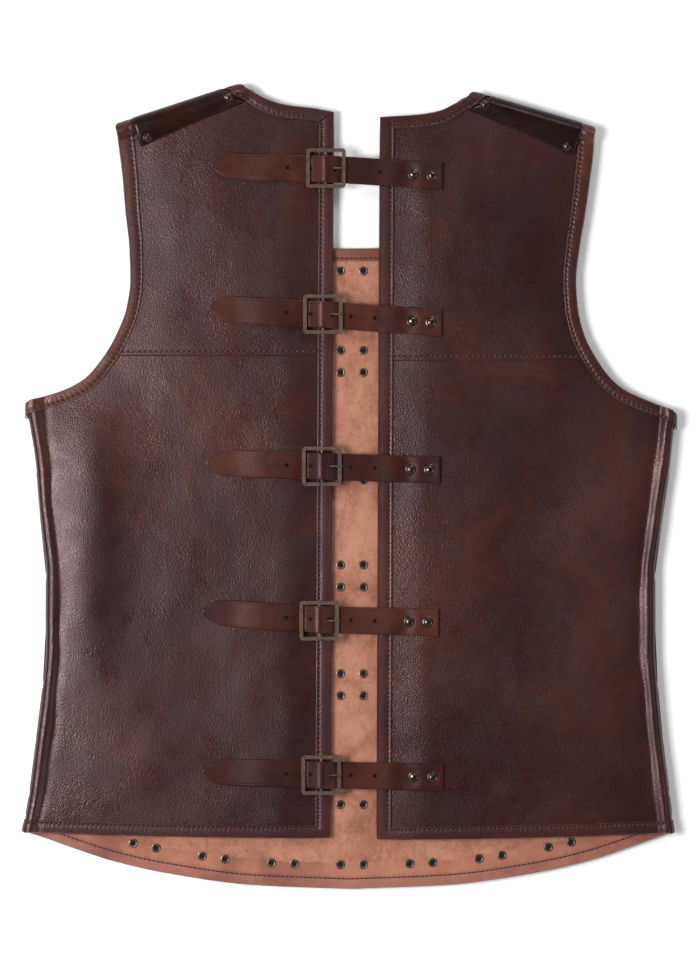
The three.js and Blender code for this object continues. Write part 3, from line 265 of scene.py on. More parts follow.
finishes = {
    "floor": plainFinish("paleFloor", (0.98, 0.98, 0.98), 0.9),
    # dark, middle and light patches, how rough the wax is, the grain and the creases
    "back": leatherFinish("waxedBackLeather", (0.014, 0.0038, 0.0046), (0.0288, 0.0082, 0.0085),
                          (0.051, 0.0148, 0.0114), 0.315, mottling=1.15, billow=1.0),
    "guard": leatherFinish("guardLeather", (0.004, 0.0016, 0.0018), (0.008, 0.0026, 0.0024),
                           (0.026, 0.008, 0.0045), 0.26, 0.3, 0.3, shine=0.26),
    "binding": leatherFinish("bindingLeather", (0.020, 0.0056, 0.0058), (0.036, 0.0098, 0.0088),
                             (0.064, 0.019, 0.0135), 0.36, 0.8, 0.6, shine=0.36),
    "armhole": leatherFinish("armholeLeather", (0.023, 0.0062, 0.0050), (0.046, 0.0132, 0.0092),
                             (0.098, 0.032, 0.0205), 0.32, 0.8, 0.6),
    "strap": leatherFinish("strapLeather", (0.020, 0.0056, 0.0058), (0.040, 0.0104, 0.0082),
                           (0.072, 0.0215, 0.0138), 0.33, 0.5, 0.3, 1.2, shine=0.22),
    "front": leatherFinish("frontLeather", (0.014, 0.0040, 0.0044), (0.028, 0.0078, 0.0080),
                           (0.048, 0.0130, 0.0110), 0.36, 0.8, 0.5),
    "plate": leatherFinish("plateLeather", (0.006, 0.003, 0.003), (0.012, 0.005, 0.005),
                           (0.022, 0.009, 0.008), 0.45, 0.7, 0.6, shine=0.2),
    "hem": leatherFinish("hemLeather", (0.165, 0.053, 0.035), (0.258, 0.094, 0.063),
                         (0.355, 0.140, 0.096), 0.55, 1.0, 1.4),
    "neck": leatherFinish("neckLeather", (0.080, 0.021, 0.011), (0.128, 0.039, 0.021),
                          (0.185, 0.063, 0.035), 0.5, 0.8, 0.6),
    "facing": leatherFinish("facingLeather", (0.20, 0.073, 0.044), (0.308, 0.117, 0.071),
                            (0.405, 0.165, 0.103), 0.68, 1.0, 1.6),
    "suede": suedeFinish("tanSuede", (0.222, 0.083, 0.050), (0.350, 0.150, 0.096), (0.450, 0.212, 0.143)),
    "brass": brassFinish("antiqueBrass", (0.048, 0.030, 0.022), (0.165, 0.105, 0.074), 0.34, 0.55),
    "rivet": brassFinish("rivetBrass", (0.03, 0.019, 0.016), (0.14, 0.094, 0.076), 0.17),
    "tube": brassFinish("tubeBrass", (0.045, 0.030, 0.023), (0.22, 0.16, 0.115), 0.34),
    "thread": threadFinish("waxedThread", (0.022, 0.009, 0.009), (0.12, 0.070, 0.066)),
    # near-black painted shade, laid into holes and hollows that the light doesn't reach
    "pit": plainFinish("darkPit", (0.006, 0.004, 0.004), 0.8),
}
floor.data.materials.append(finishes["floor"])
print("finishes ready")


body = {
    "leather": 2.2, "clearance": 0.3, "seamGap": 0.8, "plateThickness": 3.0, "foldRadius": 5.5, "seamAngle": 60.0,
    "plateReach": 1.0, "edgeHeight": 10.0, "bodyHeight": 12.9, "openEdgeRise": 45.0,
    "valleyDepth": 0.65, "valleyReach": 6.2, "crestFall": 1.36, "wander": [(0.13, 23), (0.09, 9.1)],
    "edgeSink": 0.75, "edgeReach": 30, "hemSink": 0.4, "hemReach": 25,
    "lapWidth": 11.0, "lapStep": 0.6, "skivedTop": -0.25, "garmentCentre": 5.0,
}
halfLeather = body["leather"] / 2
frontMiddle = body["plateThickness"] + body["clearance"] + halfLeather
foldCrest = frontMiddle + 2 * body["foldRadius"]
foldReach = body["foldRadius"] + halfLeather
seamInset = foldReach - body["foldRadius"] * math.cos(math.radians(body["seamAngle"]))
frontSeamAngle = body["seamAngle"] - math.degrees(body["seamGap"] / body["foldRadius"])

# side and arm rows are y, out on the left, out on the right; hem rows are out, y
outline = {
    "side": [(-313, 295.6, 292.6), (-272, 288.7, 288.2), (-229, 283.3, 282.6), (-186, 277.9, 278.6),
             (-143, 274.6, 275.8), (-78, 274.4, 275.8), (-45, 277.9, 280.1), (-13, 281.2, 284.3),
             (19, 283.6, 289.4), (52, 288.7, 292.7), (65, 291, 294.5), (74.5, 292.3, 294.5)],
    "arm": [(84, 259, 248.6), (95, 238.3, 234.6), (117, 219.4, 218.9), (138, 207.7, 209), (160, 199.6, 204),
            (185, 196.2, 202.4), (214, 197, 205.6), (246, 200.5, 210.8), (278, 203.2, 215.3), (300, 205.9, 218),
            (330, 210, 219.6)],
    "frontHem": [(0, -362.3), (87, -358.7), (166, -347.9), (214, -337), (247, -326.3), (278, -315.3),
                 (294, -310)],
}
# each swell is out, y, rise, reach across and reach along
swells = {
    "left": [(236, -45, 4.7, 29, 130), (120, -190, -1.1, 60, 70), (200, -235, 0.9, 50, 60), (110, 230, 0.8, 50, 60)],
    "right": [(190, -90, -0.6, 50, 110), (120, -20, 0.9, 45, 90), (225, -230, 1.1, 45, 80), (130, 240, 0.8, 50, 60)],
}
halfSizes = {
    "left": {
        "sign": -1, "opening": [(-316, 19), (116, 16.9), (336, 15.4)], "hemCentre": -316, "hemSide": -310.5,
        "seamY": 116.5, "underarm": (292.3, 74.5), "shoulderArm": (209, 324.7),
        "neck": [(15.4, 335.7), (33.5, 338.6), (57.6, 341.4), (73.7, 346.2), (91.8, 355.8), (101.3, 359.9)],
        "frontNeck": [(214, 52), (232, 76), (262, 89), (345, 98)],
        "guard": {"neckEnd": 13.5, "neckSlant": -14.5, "armEnd": 99, "neckDepth": 14, "armDepth": 24.8},
    },
    "right": {
        "sign": 1, "opening": [(-317.5, 25.4), (112, 27.2), (331, 28.4)], "hemCentre": -317.5, "hemSide": -311,
        "seamY": 112, "underarm": (294.5, 65), "shoulderArm": (218.9, 322),
        "neck": [(28.4, 331.1), (45, 331.6), (60.5, 332.6), (80.6, 336), (97, 344), (113.3, 353.1)],
        "frontNeck": [(214, 62), (232, 87), (262, 100), (345, 110)],
        "guard": {"neckEnd": 13.5, "neckSlant": -14.5, "armEnd": 100, "neckDepth": 13.9, "armDepth": 28},
    },
}


def lerp(first, second, t):
    return first + (second - first) * t


def smoothStep(t):
    s = np.clip(t, 0, 1)
    return s * s * (3 - 2 * s)


def smoothTable(rows):
    # a smooth curve through the rows, with no overshoot between them
    xs = np.array([row[0] for row in rows], float)
    ys = np.array([row[1] for row in rows], float)
    steps = np.diff(ys) / np.diff(xs)
    slopes = np.empty(len(xs))
    slopes[0], slopes[-1] = steps[0], steps[-1]
    for i in range(1, len(xs) - 1):
        flat = steps[i - 1] * steps[i] <= 0
        slopes[i] = 0 if flat else 2 * steps[i - 1] * steps[i] / (steps[i - 1] + steps[i])

    def at(x):
        x = np.clip(np.asarray(x, float), xs[0], xs[-1])
        i = np.clip(np.searchsorted(xs, x) - 1, 0, len(xs) - 2)
        width = xs[i + 1] - xs[i]
        t = (x - xs[i]) / width
        return (ys[i] * (1 + 2 * t) * (1 - t) ** 2 + ys[i + 1] * t * t * (3 - 2 * t)
                + slopes[i] * width * t * (1 - t) ** 2 - slopes[i + 1] * width * t * t * (1 - t))
    return at


class Half:
    # one side of the garment, with the curves that bound it
    def __init__(self, name):
        sizes = halfSizes[name]
        column = 1 if name == "left" else 2
        self.name, self.sizes, self.sign = name, sizes, sizes["sign"]
        self.seamY, self.guard = sizes["seamY"], sizes["guard"]
        self.tipOut, self.tipY = sizes["underarm"]
        armRows = [(self.tipY, self.tipOut)] + [(row[0], row[column]) for row in outline["arm"]]
        self.side = smoothTable([(row[0], row[column]) for row in outline["side"]])
        self.armOut = smoothTable(armRows)
        self.armY = smoothTable(sorted((out, y) for y, out in armRows if y < 140))
        self.open = smoothTable(sizes["opening"])
        self.neckY = smoothTable(sizes["neck"])
        self.frontNeckOut = smoothTable(sizes["frontNeck"])
        self.peakOut, self.peakY = sizes["neck"][-1]
        self.shoulderOut, self.shoulderTop = sizes["shoulderArm"]
        run = np.array([self.shoulderOut - self.peakOut, self.shoulderTop - self.peakY])
        self.along = run / np.linalg.norm(run)
        self.upward = np.array([-self.along[1], self.along[0]])
        self.swells = swells[name]
        self.corner = self.peakOut
        while self.neckY(self.corner) > self.shoulderY(self.corner, seamInset):
            self.corner -= 0.05
        samples = []
        for i in range(49):
            t = i / 48
            y = lerp(self.tipY, self.shoulderTop, t)
            out = lerp(sizes["neck"][0][0], self.peakOut, t)
            low = lerp(float(self.armOut(140)), self.tipOut, t)
            samples += [(float(self.armOut(y)), y), (out, float(self.neckY(out))), (low, float(self.armY(low)))]
        self.edges = np.array(samples)

    def leatherSide(self, y):
        return self.side(np.minimum(y, self.tipY)) - body["plateReach"]

    def sideSeam(self, y):
        return self.leatherSide(y) - seamInset

    def shoulderY(self, out, inset):
        return self.peakY + ((out - self.peakOut) * self.along[1] - inset) / self.along[0]

    def toShoulder(self, out, y):
        return -((out - self.peakOut) * self.upward[0] + (y - self.peakY) * self.upward[1])

    def backHem(self, out):
        return lerp(self.sizes["hemCentre"], self.sizes["hemSide"], (out / self.tipOut) ** 2)


halves = [Half("left"), Half("right")]
leftHalf, rightHalf = halves
frontHem = smoothTable(outline["frontHem"])


def backHeight(half, out, y):
    # a circle beside each fold, then a hollow, then up to the body
    out, y = np.broadcast_arrays(np.asarray(out, float), np.asarray(y, float))
    toSide = half.leatherSide(y) - out
    toShoulder = half.toShoulder(out, y)
    nearest = np.minimum(toSide, toShoulder)
    reach = np.clip(foldReach - nearest, 0, body["foldRadius"])
    onFold = frontMiddle + body["foldRadius"] + np.sqrt(body["foldRadius"] ** 2 - reach ** 2)
    flat = np.stack([out.ravel(), y.ravel()], axis=1)
    toEdge = np.empty(len(flat))
    for start in range(0, len(flat), 4000):
        part = flat[start:start + 4000]
        toEdge[start:start + 4000] = np.sqrt(
            ((part[:, None, :] - half.edges[None, :, :]) ** 2).sum(axis=2)).min(axis=1)
    toEdge = toEdge.reshape(out.shape)
    toHem = y - half.backHem(out)
    ease = 1 - body["edgeSink"] * np.exp(-((toEdge / body["edgeReach"]) ** 2))
    ease = ease * (1 - body["hemSink"] * np.exp(-toHem / body["hemReach"]))
    rise = smoothStep((out - half.open(y)) / body["openEdgeRise"]) * ease
    crest = np.zeros(out.shape)
    dip = np.zeros(out.shape)
    (wide, wideRun), (close, closeRun) = body["wander"]
    wander = 1 + wide * np.sin(y / wideRun + half.sign) + close * np.sin(y / closeRun)
    for distance, reach in ((toSide, body["valleyReach"] * wander), (toShoulder, body["valleyReach"])):
        s = (distance - foldReach) / reach
        crest = np.maximum(crest, np.exp(-((s * body["crestFall"]) ** 2)))
        dip = dip + s * s * np.exp(1 - s * s)
    swell = np.zeros(out.shape)
    for atOut, atY, height, across, along in half.swells:
        swell = swell + height * np.exp(-(((out - atOut) / across) ** 2) - ((y - atY) / along) ** 2)
    level = body["edgeHeight"] + (body["bodyHeight"] - body["edgeHeight"] + swell) * rise
    rest = level + (foldCrest - level) * crest - body["valleyDepth"] * dip
    return np.where(nearest < foldReach, onFold, rest)


def backPlaces(half, out, y):
    # the middle of the leather and its outward normal
    out, y = np.broadcast_arrays(np.asarray(out, float), np.asarray(y, float))
    step = 0.25
    slopeOut = (backHeight(half, out + step, y) - backHeight(half, out - step, y)) / (2 * step)
    slopeY = (backHeight(half, out, y + step) - backHeight(half, out, y - step)) / (2 * step)
    points = np.stack([half.sign * out, y, backHeight(half, out, y)], axis=-1)
    normals = np.stack([-half.sign * slopeOut, -slopeY, np.ones(out.shape)], axis=-1)
    return points, normals / np.linalg.norm(normals, axis=-1, keepdims=True)


def frontPlaces(half, out, y):
    out, y = np.broadcast_arrays(np.asarray(out, float), np.asarray(y, float))
    points = np.stack([half.sign * out, y, np.full(out.shape, frontMiddle)], axis=-1)
    return points, np.broadcast_to(np.array([0.0, 0.0, -1.0]), points.shape)


def sideFoldPlaces(half, y, angle):
    y, angle = np.broadcast_arrays(np.asarray(y, float), np.radians(np.asarray(angle, float)))
    across, up = np.cos(angle), np.sin(angle)
    out = half.leatherSide(y) - foldReach + body["foldRadius"] * across
    points = np.stack([half.sign * out, y, frontMiddle + body["foldRadius"] * (1 + up)], axis=-1)
    return points, np.stack([half.sign * across, np.zeros(y.shape), up], axis=-1)


def shoulderFoldPlaces(half, out, y, angle):
    out, y, angle = np.broadcast_arrays(out, y, np.radians(np.asarray(angle, float)))
    across, up = np.cos(angle), np.sin(angle)
    reach = body["foldRadius"] * across
    points = np.stack([half.sign * (out + half.upward[0] * reach), y + half.upward[1] * reach,
                       frontMiddle + body["foldRadius"] * (1 + up)], axis=-1)
    normals = np.stack([half.sign * half.upward[0] * across, half.upward[1] * across, up], axis=-1)
    return points, normals


def lapBump(half, y):
    return body["lapStep"] * np.exp(-(((y - half.seamY) / 8) ** 2))


def newObject(name, vertices, faces, materials, faceMaterials=None, smoothAngle=40):
    mesh = bpy.data.meshes.new(name)
    mesh.from_pydata([tuple(float(c) * millimetre for c in v) for v in vertices], [], faces)
    made = bpy.data.objects.new(name, mesh)
    bpy.context.scene.collection.objects.link(made)
    for key in materials:
        mesh.materials.append(finishes[key])
    if faceMaterials:
        mesh.polygons.foreach_set("material_index", faceMaterials)
    cleaned = bmesh.new()
    cleaned.from_mesh(mesh)
    bmesh.ops.remove_doubles(cleaned, verts=cleaned.verts, dist=1e-6)
    bmesh.ops.recalc_face_normals(cleaned, faces=cleaned.faces)
    cleaned.to_mesh(mesh)
    cleaned.free()
    smooth(made, smoothAngle)
    return made


def only(made):
    bpy.ops.object.select_all(action="DESELECT")
    made.select_set(True)
    bpy.context.view_layer.objects.active = made


def smooth(made, angle=40):
    only(made)
    bpy.ops.object.shade_smooth_by_angle(angle=math.radians(angle))


def rounded(made, width, segments, angleLimit=None):
    only(made)
    rounding = made.modifiers.new("rounding", "BEVEL")
    rounding.width, rounding.segments, rounding.limit_method = width * millimetre, segments, "ANGLE"
    if angleLimit:
        rounding.angle_limit = angleLimit
    bpy.ops.object.modifier_apply(modifier="rounding")


class Net:
    # a leather wall: nets of outer and inner points, joined where they share points and closed at free edges
    def __init__(self):
        self.outer, self.inner, self.quads, self.found = [], [], [], {}

    def place(self, outer, inner):
        key = tuple(int(round(c * 500)) for c in (*outer, *inner))
        if key not in self.found:
            self.found[key] = len(self.outer)
            self.outer.append(tuple(outer))
            self.inner.append(tuple(inner))
        return self.found[key]

    def patch(self, outer, inner):
        rows, columns = outer.shape[:2]
        ids = [[self.place(outer[i, k], inner[i, k]) for k in range(columns)] for i in range(rows)]
        quads = [(ids[i][k], ids[i][k + 1], ids[i + 1][k + 1], ids[i + 1][k])
                 for i in range(rows - 1) for k in range(columns - 1)]
        middle = (slice(0, -1), slice(0, -1))
        across = np.cross(outer[1:, 1:] - outer[middle], outer[1:, :-1] - outer[:-1, 1:])
        facing = (across * (outer[middle] - inner[middle])).sum()
        self.quads += [quad[::-1] for quad in quads] if facing < 0 else quads
        return self

    def build(self, name, outerFinish, innerFinish, smoothAngle=40):
        count = len(self.outer)
        faces, edges = [], {}
        quads = [quad for quad in self.quads if len(set(quad)) > 2]
        for quad in quads:
            quad = list(dict.fromkeys(quad))
            faces.append(tuple(quad))
            for i, a in enumerate(quad):
                edges[(a, quad[(i + 1) % len(quad)])] = True
        outerCount = len(faces)
        faces += [tuple(i + count for i in reversed(face)) for face in faces]
        for a, b in edges:
            if (b, a) not in edges:
                faces.append((b, a, a + count, b + count))
        keys = [0] * outerCount + [1] * outerCount + [0] * (len(faces) - 2 * outerCount)
        return newObject(name, self.outer + self.inner, faces, [outerFinish, innerFinish], keys, smoothAngle)


def sweep(name, rings, finish, smoothAngle=50, keys=None):
    # a closed ring of points at each station, capped at both ends
    stations, points = rings.shape[:2]
    vertices = rings.reshape(-1, 3)
    faces = []
    for i in range(stations - 1):
        here, after = i * points, (i + 1) * points
        faces += [(here + k, here + (k + 1) % points, after + (k + 1) % points, after + k) for k in range(points)]
    faces.append(tuple(range(points - 1, -1, -1)))
    faces.append(tuple((stations - 1) * points + k for k in range(points)))
    if keys is None:
        return newObject(name, vertices, faces, [finish], None, smoothAngle)
    return newObject(name, vertices, faces, list(finish), keys * (stations - 1) + [0, 0], smoothAngle)


def joinedMesh(name, pieces):
    only(pieces[0])
    for other in pieces[1:]:
        other.select_set(True)
    if len(pieces) > 1:
        bpy.ops.object.join()
    made = bpy.context.object
    made.name = made.data.name = name
    return made


def fitted(made, slotName, *nodes):
    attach(made, "root")
    if nodes:
        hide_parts(*nodes)


def sheetArea(quadsOuter):
    # flat area of a net of points, in square metres
    diagonal = np.cross(quadsOuter[1:, 1:] - quadsOuter[:-1, :-1], quadsOuter[1:, :-1] - quadsOuter[:-1, 1:])
    return float(np.linalg.norm(diagonal, axis=-1).sum()) / 2 * 1e-6


def spanned(*stops):
    # numbers from stop to stop, each stretch cut into pieces no longer than its step: (start, step, next, step, ...)
    values = [float(stops[0])]
    for step, end in zip(stops[1::2], stops[2::2]):
        count = max(1, math.ceil(abs(end - values[-1]) / step - 1e-6))
        start = values[-1]
        values += [lerp(start, float(end), (i + 1) / count) for i in range(count)]
    return np.array(values)


backNet = {"columnStep": 4.5, "rowStep": 4.5, "foldStep": 1.1, "foldZone": 20, "yokeZone": 24}
# up from the lower edge of the lap, and how far the leather's worn corner is below its face there
lapEdge = np.array([(0, 0.95), (0.5, 0.5), (1.4, 0.2), (3, 0.1), (4.6, 0.4), (6.5, 0)])


def lowerOut(half, u, y):
    return lerp(half.open(y), half.sideSeam(y), u)


def makeLowerBack(half):
    start, end = float(half.open(half.seamY)), float(half.sideSeam(half.seamY))
    lap = half.seamY + body["lapWidth"]
    lapCorner = float(half.armOut(lap))
    outs = spanned(start, backNet["columnStep"], lapCorner, backNet["columnStep"], end - backNet["foldZone"],
                   backNet["foldStep"], end)
    us = (outs - start) / (end - start)
    tops = np.full(us.shape, lap)
    for _ in range(12):
        tops = np.minimum(lap, half.armY(lowerOut(half, us, np.minimum(tops, lap))))
    tops = np.where(outs <= lapCorner, lap, tops)
    bottoms = half.backHem(lowerOut(half, us, half.sizes["hemSide"]))
    fractions = spanned(0, backNet["rowStep"] / 430, 1)
    ys = lerp(bottoms[:, None], (tops - body["lapWidth"])[:, None], fractions[None, :])
    nearTop = np.array([body["lapWidth"] - 0.5, body["lapWidth"] * 0.5, 0.0])
    ys = np.concatenate([ys, tops[:, None] - nearTop[None, :]], axis=1)
    out = lowerOut(half, us[:, None], ys)
    points, normals = backPlaces(half, out, ys)
    skived = (ys > half.seamY + 0.2)[..., None]
    outer = points + normals * np.where(skived, body["skivedTop"], halfLeather)
    inner = points - normals * halfLeather
    made = Net().patch(outer, inner).build("lowerBack_" + half.name, "back", "suede")
    fitted(made, "dark_leather", "back_lower_" + half.name)
    sheetArea(points)


def yokeOut(half, u, y):
    return lerp(half.open(y), half.armOut(np.minimum(y, half.shoulderTop)), u)


def yokeTops(half, us):
    tops = np.full(us.shape, half.peakY)
    for _ in range(12):
        outs = yokeOut(half, us, tops)
        tops = np.where(outs < half.corner, half.neckY(outs), half.shoulderY(outs, seamInset))
    return tops


def makeYoke(half):
    start, end = float(half.open(half.peakY)), float(half.armOut(half.shoulderTop))
    zone = backNet["yokeZone"]
    outs = spanned(start, backNet["columnStep"], half.corner - zone, 1.6, half.corner, backNet["columnStep"], end)
    us = (outs - start) / (end - start)
    tops = yokeTops(half, us)
    fractions = spanned(0, backNet["rowStep"] / 230, 1)
    lapTop = half.seamY + body["lapWidth"] + 0.9
    nearSeam = half.seamY + np.append(lapEdge[:, 0], body["lapWidth"] + 0.3)
    upper = lerp(lapTop, (tops - zone)[:, None], fractions[None, :])
    nearTop = tops[:, None] - spanned(22.5, 1.5, 0)[None, :]
    ys = np.concatenate([np.broadcast_to(nearSeam, (len(us), len(nearSeam))), upper, nearTop], axis=1)
    out = yokeOut(half, us[:, None], ys)
    points, normals = backPlaces(half, out, ys)
    bump = lapBump(half, ys)[..., None]
    edge = np.interp(ys, half.seamY + lapEdge[:, 0], lapEdge[:, 1])[..., None]
    overLap = (ys < half.seamY + body["lapWidth"] + 0.6)[..., None]
    outer = points + normals * (halfLeather + bump - edge)
    inner = points + normals * np.where(overLap, body["skivedTop"] + 0.5, -halfLeather)
    made = Net().patch(outer, inner).build("yoke_" + half.name, "back", "suede", 60)
    fitted(made, "dark_leather", "back_upper_" + half.name)
    sheetArea(points)


for half in halves:
    makeLowerBack(half)
    makeYoke(half)
print("back panels ready")


frontNet = {"chestY": 120.0, "neckBaseY": 214.0, "neckDrop": 1.6, "foldStep": 10.0, "cornerDrop": 4.8}


def frontArmOut(half, y):
    deep = 6 * smoothStep((y - half.tipY) / 25) * smoothStep((half.shoulderTop - 8 - y) / 40)
    return half.armOut(y) - deep


def foldStart(half, y):
    return half.leatherSide(y) - foldReach


def frontArmY(half, out):
    start = float(foldStart(half, half.tipY))
    return half.armY(out) - 4 * smoothStep((start - out) / 25) * smoothStep((out - 205) / 20)


def frontOut(half, u, y):
    return lerp(half.sign * body["garmentCentre"], foldStart(half, y), u)


def neckDip(half, out):
    middle = half.sign * body["garmentCentre"]
    side = float(half.frontNeckOut(frontNet["neckBaseY"]))
    return frontNet["neckDrop"] * np.maximum(0, 1 - ((out - middle) / (side - middle)) ** 2)


frontLines = {}                  # edges that the bindings follow
foldAngles = spanned(-90, frontNet["foldStep"], frontSeamAngle)
chestY, neckBaseY = frontNet["chestY"], frontNet["neckBaseY"]


def skin(places):
    points, normals = places
    return points + normals * halfLeather, points - normals * halfLeather


def cornerDrop(angle):
    return frontNet["cornerDrop"] * np.clip((body["seamAngle"] - angle) / 60, 0, 1) ** 2


def shoulderDrop(angle):
    return cornerDrop(angle) * np.clip((angle + 90) / 30, 0, 1)


def makeFrontPanel():
    net = Net()
    area = 0
    for half in halves:
        middle = half.sign * body["garmentCentre"]
        chestOut = float(frontArmOut(half, chestY))
        arm = (chestOut - middle) / (float(foldStart(half, chestY)) - middle)
        us = np.concatenate([spanned(0, 0.03, arm), spanned(arm, 0.03, 1)[1:]])
        across = frontOut(half, us, half.tipY)
        tops = np.where(us <= arm + 1e-6, chestY, frontArmY(half, across))
        rows = spanned(0, 0.0125, 1)
        bottoms = frontHem(np.abs(frontOut(half, us, -330)))
        for _ in range(3):
            bottoms = frontHem(np.abs(frontOut(half, us, bottoms)))
        ys = lerp(bottoms[:, None], tops[:, None], rows[None, :])
        flat = frontPlaces(half, frontOut(half, us[:, None], ys), ys)
        foldBottoms = frontHem(float(foldStart(half, -310)) + body["foldRadius"] * np.cos(np.radians(foldAngles)))
        foldBottoms[0] = bottoms[-1]
        foldTops = lerp(float(tops[-1]), half.tipY - cornerDrop(foldAngles), np.minimum(1, (foldAngles + 90) / 30))
        foldYs = lerp(foldBottoms[:, None], foldTops[:, None], rows[None, :])
        fold = sideFoldPlaces(half, foldYs, foldAngles[:, None])
        net.patch(*skin(flat))
        net.patch(*skin(fold))
        chestUs = us[us <= arm + 1e-6] / arm
        chestYs = spanned(chestY, 6, neckBaseY)
        out = lerp(middle, frontArmOut(half, chestYs)[None, :], chestUs[:, None])
        dipped = np.where(chestYs[None, :] >= neckBaseY, chestYs[None, :] - neckDip(half, out), chestYs[None, :])
        chest = frontPlaces(half, out, dipped)
        net.patch(*skin(chest))
        outsAtNeck = out[:, -1]
        wanted = float(half.frontNeckOut(neckBaseY))
        best = int(np.argmin(np.abs(outsAtNeck - wanted)))
        ws = (chestUs[best:] - chestUs[best]) / (chestUs[-1] - chestUs[best])
        neckStart = outsAtNeck[best] - wanted

        def outAt(y):
            ease = neckStart * (1 - smoothStep((y - neckBaseY) / 40))
            return lerp(half.frontNeckOut(y) + ease, frontArmOut(half, y), ws[:, None] if np.ndim(y) > 1 else ws)
        shoulderTops = np.full(ws.shape, half.shoulderTop)
        for _ in range(12):
            shoulderTops = half.shoulderY(outAt(shoulderTops), foldReach)
        strapYs = lerp(neckBaseY, shoulderTops[:, None], spanned(0, 0.05, 1)[None, :])
        strapOuts = outAt(strapYs)
        lowered = strapYs.copy()
        lowered[:, 0] = neckBaseY - neckDip(half, strapOuts[:, 0])
        strapFlat = frontPlaces(half, strapOuts, lowered)
        foldOuts = strapOuts[:, -1:] + (1 - 2 * ws)[:, None] * shoulderDrop(foldAngles)[None, :]
        strapFold = shoulderFoldPlaces(half, foldOuts, half.shoulderY(foldOuts, foldReach), foldAngles[None, :])
        net.patch(*skin(strapFlat))
        net.patch(*skin(strapFold))
        frontLines[half.name] = {
            "strapInner": strapFlat[0][0], "strapOuter": strapFlat[0][-1], "base": chest[0][:best + 1, -1],
            "neckFold": (strapFold[0][0], strapFold[1][0]), "armFold": (strapFold[0][-1], strapFold[1][-1]),
            "chest": chest[0][-1], "underarm": flat[0][us >= arm - 1e-6, -1],
            "underFold": (fold[0][:, -1], fold[1][:, -1]),
        }
        area += sum(sheetArea(places[0]) for places in (flat, fold, chest, strapFlat, strapFold))
    made = net.build("frontPanel", "front", "suede")
    fitted(made, "suede_leather", "front_panel")


makeFrontPanel()
print("front panel ready")


binding = {"pitch": 4.2, "stitchIn": 7.7, "mitreEase": 24.0, "mitreOverlap": 0.4, "noseMitre": 0.3,
           "foldLift": 0.5, "tailLift": 0.3, "tailOut": 0.35, "threadLevel": 0.9, "holeLevel": 0.88,
           "frontCut": 25.5, "turned": 5.5, "flat": 17.0}
thread = {"radius": 0.4, "slant": 0.2, "holeLength": 1.0, "holeWidth": 0.78}
# distance in from the edge, height over the leather, and how far each stitch pulls it down
visibleFlange = [(10.0, 0.3, 0), (10.0, 0.95, 0), (9.65, 1.16, 0), (8.9, 1.16, 0.06), (8.2, 0.98, 0.14),
                 (7.7, 0.8, 0.14), (7.2, 0.98, 0.2), (6.7, 1.2, 0.24), (5.6, 1.36, 0.18), (3.9, 1.44, 0.08),
                 (2.3, 1.44, 0.02), (0.9, 1.34, 0)]
hiddenFlange = [(0.9, 1.42, 0), (3.5, 1.5, 0), (7.0, 1.3, 0), (7.0, 0.3, 0), (3.5, 0.3, 0)]
nose = [(-0.5, 2.45), (-1.15, 1.7), (-1.5, 0.0), (-1.15, -1.7), (-0.5, -2.45)]


def unit(vectors):
    return vectors / np.maximum(np.linalg.norm(vectors, axis=-1, keepdims=True), 1e-9)


def lengthsAlong(points):
    steps = np.linalg.norm(np.diff(points, axis=0), axis=1)
    return np.concatenate([[0.0], np.cumsum(steps)])


def resampled(values, s, stations):
    return np.stack([np.interp(stations, s, values[:, k]) for k in range(values.shape[1])], axis=1)


def stationsFor(length):
    # three to a stitch, the first at its hole
    count = 3 * max(2, round(length / binding["pitch"]))
    return np.linspace(0, length, count + 1)


class BackEdge:
    # an edge of the back as plan points, each with the direction into the leather
    def __init__(self, half, points, inward, mitreStart=0.0, mitreEnd=0.0, lift=None, spread=1.0):
        self.half, self.points = half, np.array(points, float)
        self.inward = np.array(inward, float) * np.reshape(spread * np.ones(len(points)), (-1, 1))
        self.meanSpread = float(np.mean(spread))
        self.s = lengthsAlong(self.points)
        self.length = float(self.s[-1])
        self.stations = stationsFor(self.length)
        self.before = 0
        self.mitreStart, self.mitreEnd = mitreStart, mitreEnd
        self.lift = np.zeros(len(self.s)) if lift is None else lift

    def plan(self, depth, stations=None):
        s = self.stations if stations is None else stations
        lap = binding["mitreOverlap"] * min(1, max(0, depth) / 2)
        mitred = depth if depth > 0 else binding["noseMitre"] * depth
        if self.mitreStart:
            s = s + (mitred * self.mitreStart - lap) * np.clip(1 - s / binding["mitreEase"], 0, 1)
        if self.mitreEnd:
            s = s - (mitred * self.mitreEnd - lap) * np.clip(1 - (self.length - s) / binding["mitreEase"], 0, 1)
        return resampled(self.points, self.s, s) + depth * resampled(self.inward, self.s, s)

    def places(self, depth, stations=None):
        plan = self.plan(depth, stations)
        return backPlaces(self.half, plan[:, 0], plan[:, 1])

    def rise(self):
        # over and under the leather
        y = resampled(self.points, self.s, self.stations)[:, 1]
        lift = np.interp(self.stations, self.s, self.lift)
        return lapBump(self.half, y) + lift, lift


class FrontEdge:
    # an edge of the front, whose leather is flat or ruled along the direction inwards
    def __init__(self, points, normals, inward):
        keep = np.concatenate([[True], np.linalg.norm(np.diff(points, axis=0), axis=1) > 0.05])
        self.points, self.normals, self.inward = points[keep], normals[keep], inward[keep]
        self.s = lengthsAlong(self.points)
        self.length = float(self.s[-1])
        self.stations = stationsFor(self.length)
        self.before = 0

    def places(self, depth, stations=None):
        s = self.stations if stations is None else stations
        inward = unit(resampled(self.inward, self.s, s))
        return resampled(self.points, self.s, s) + depth * inward, unit(resampled(self.normals, self.s, s))

    def rise(self):
        return np.zeros(len(self.stations)), np.zeros(len(self.stations))


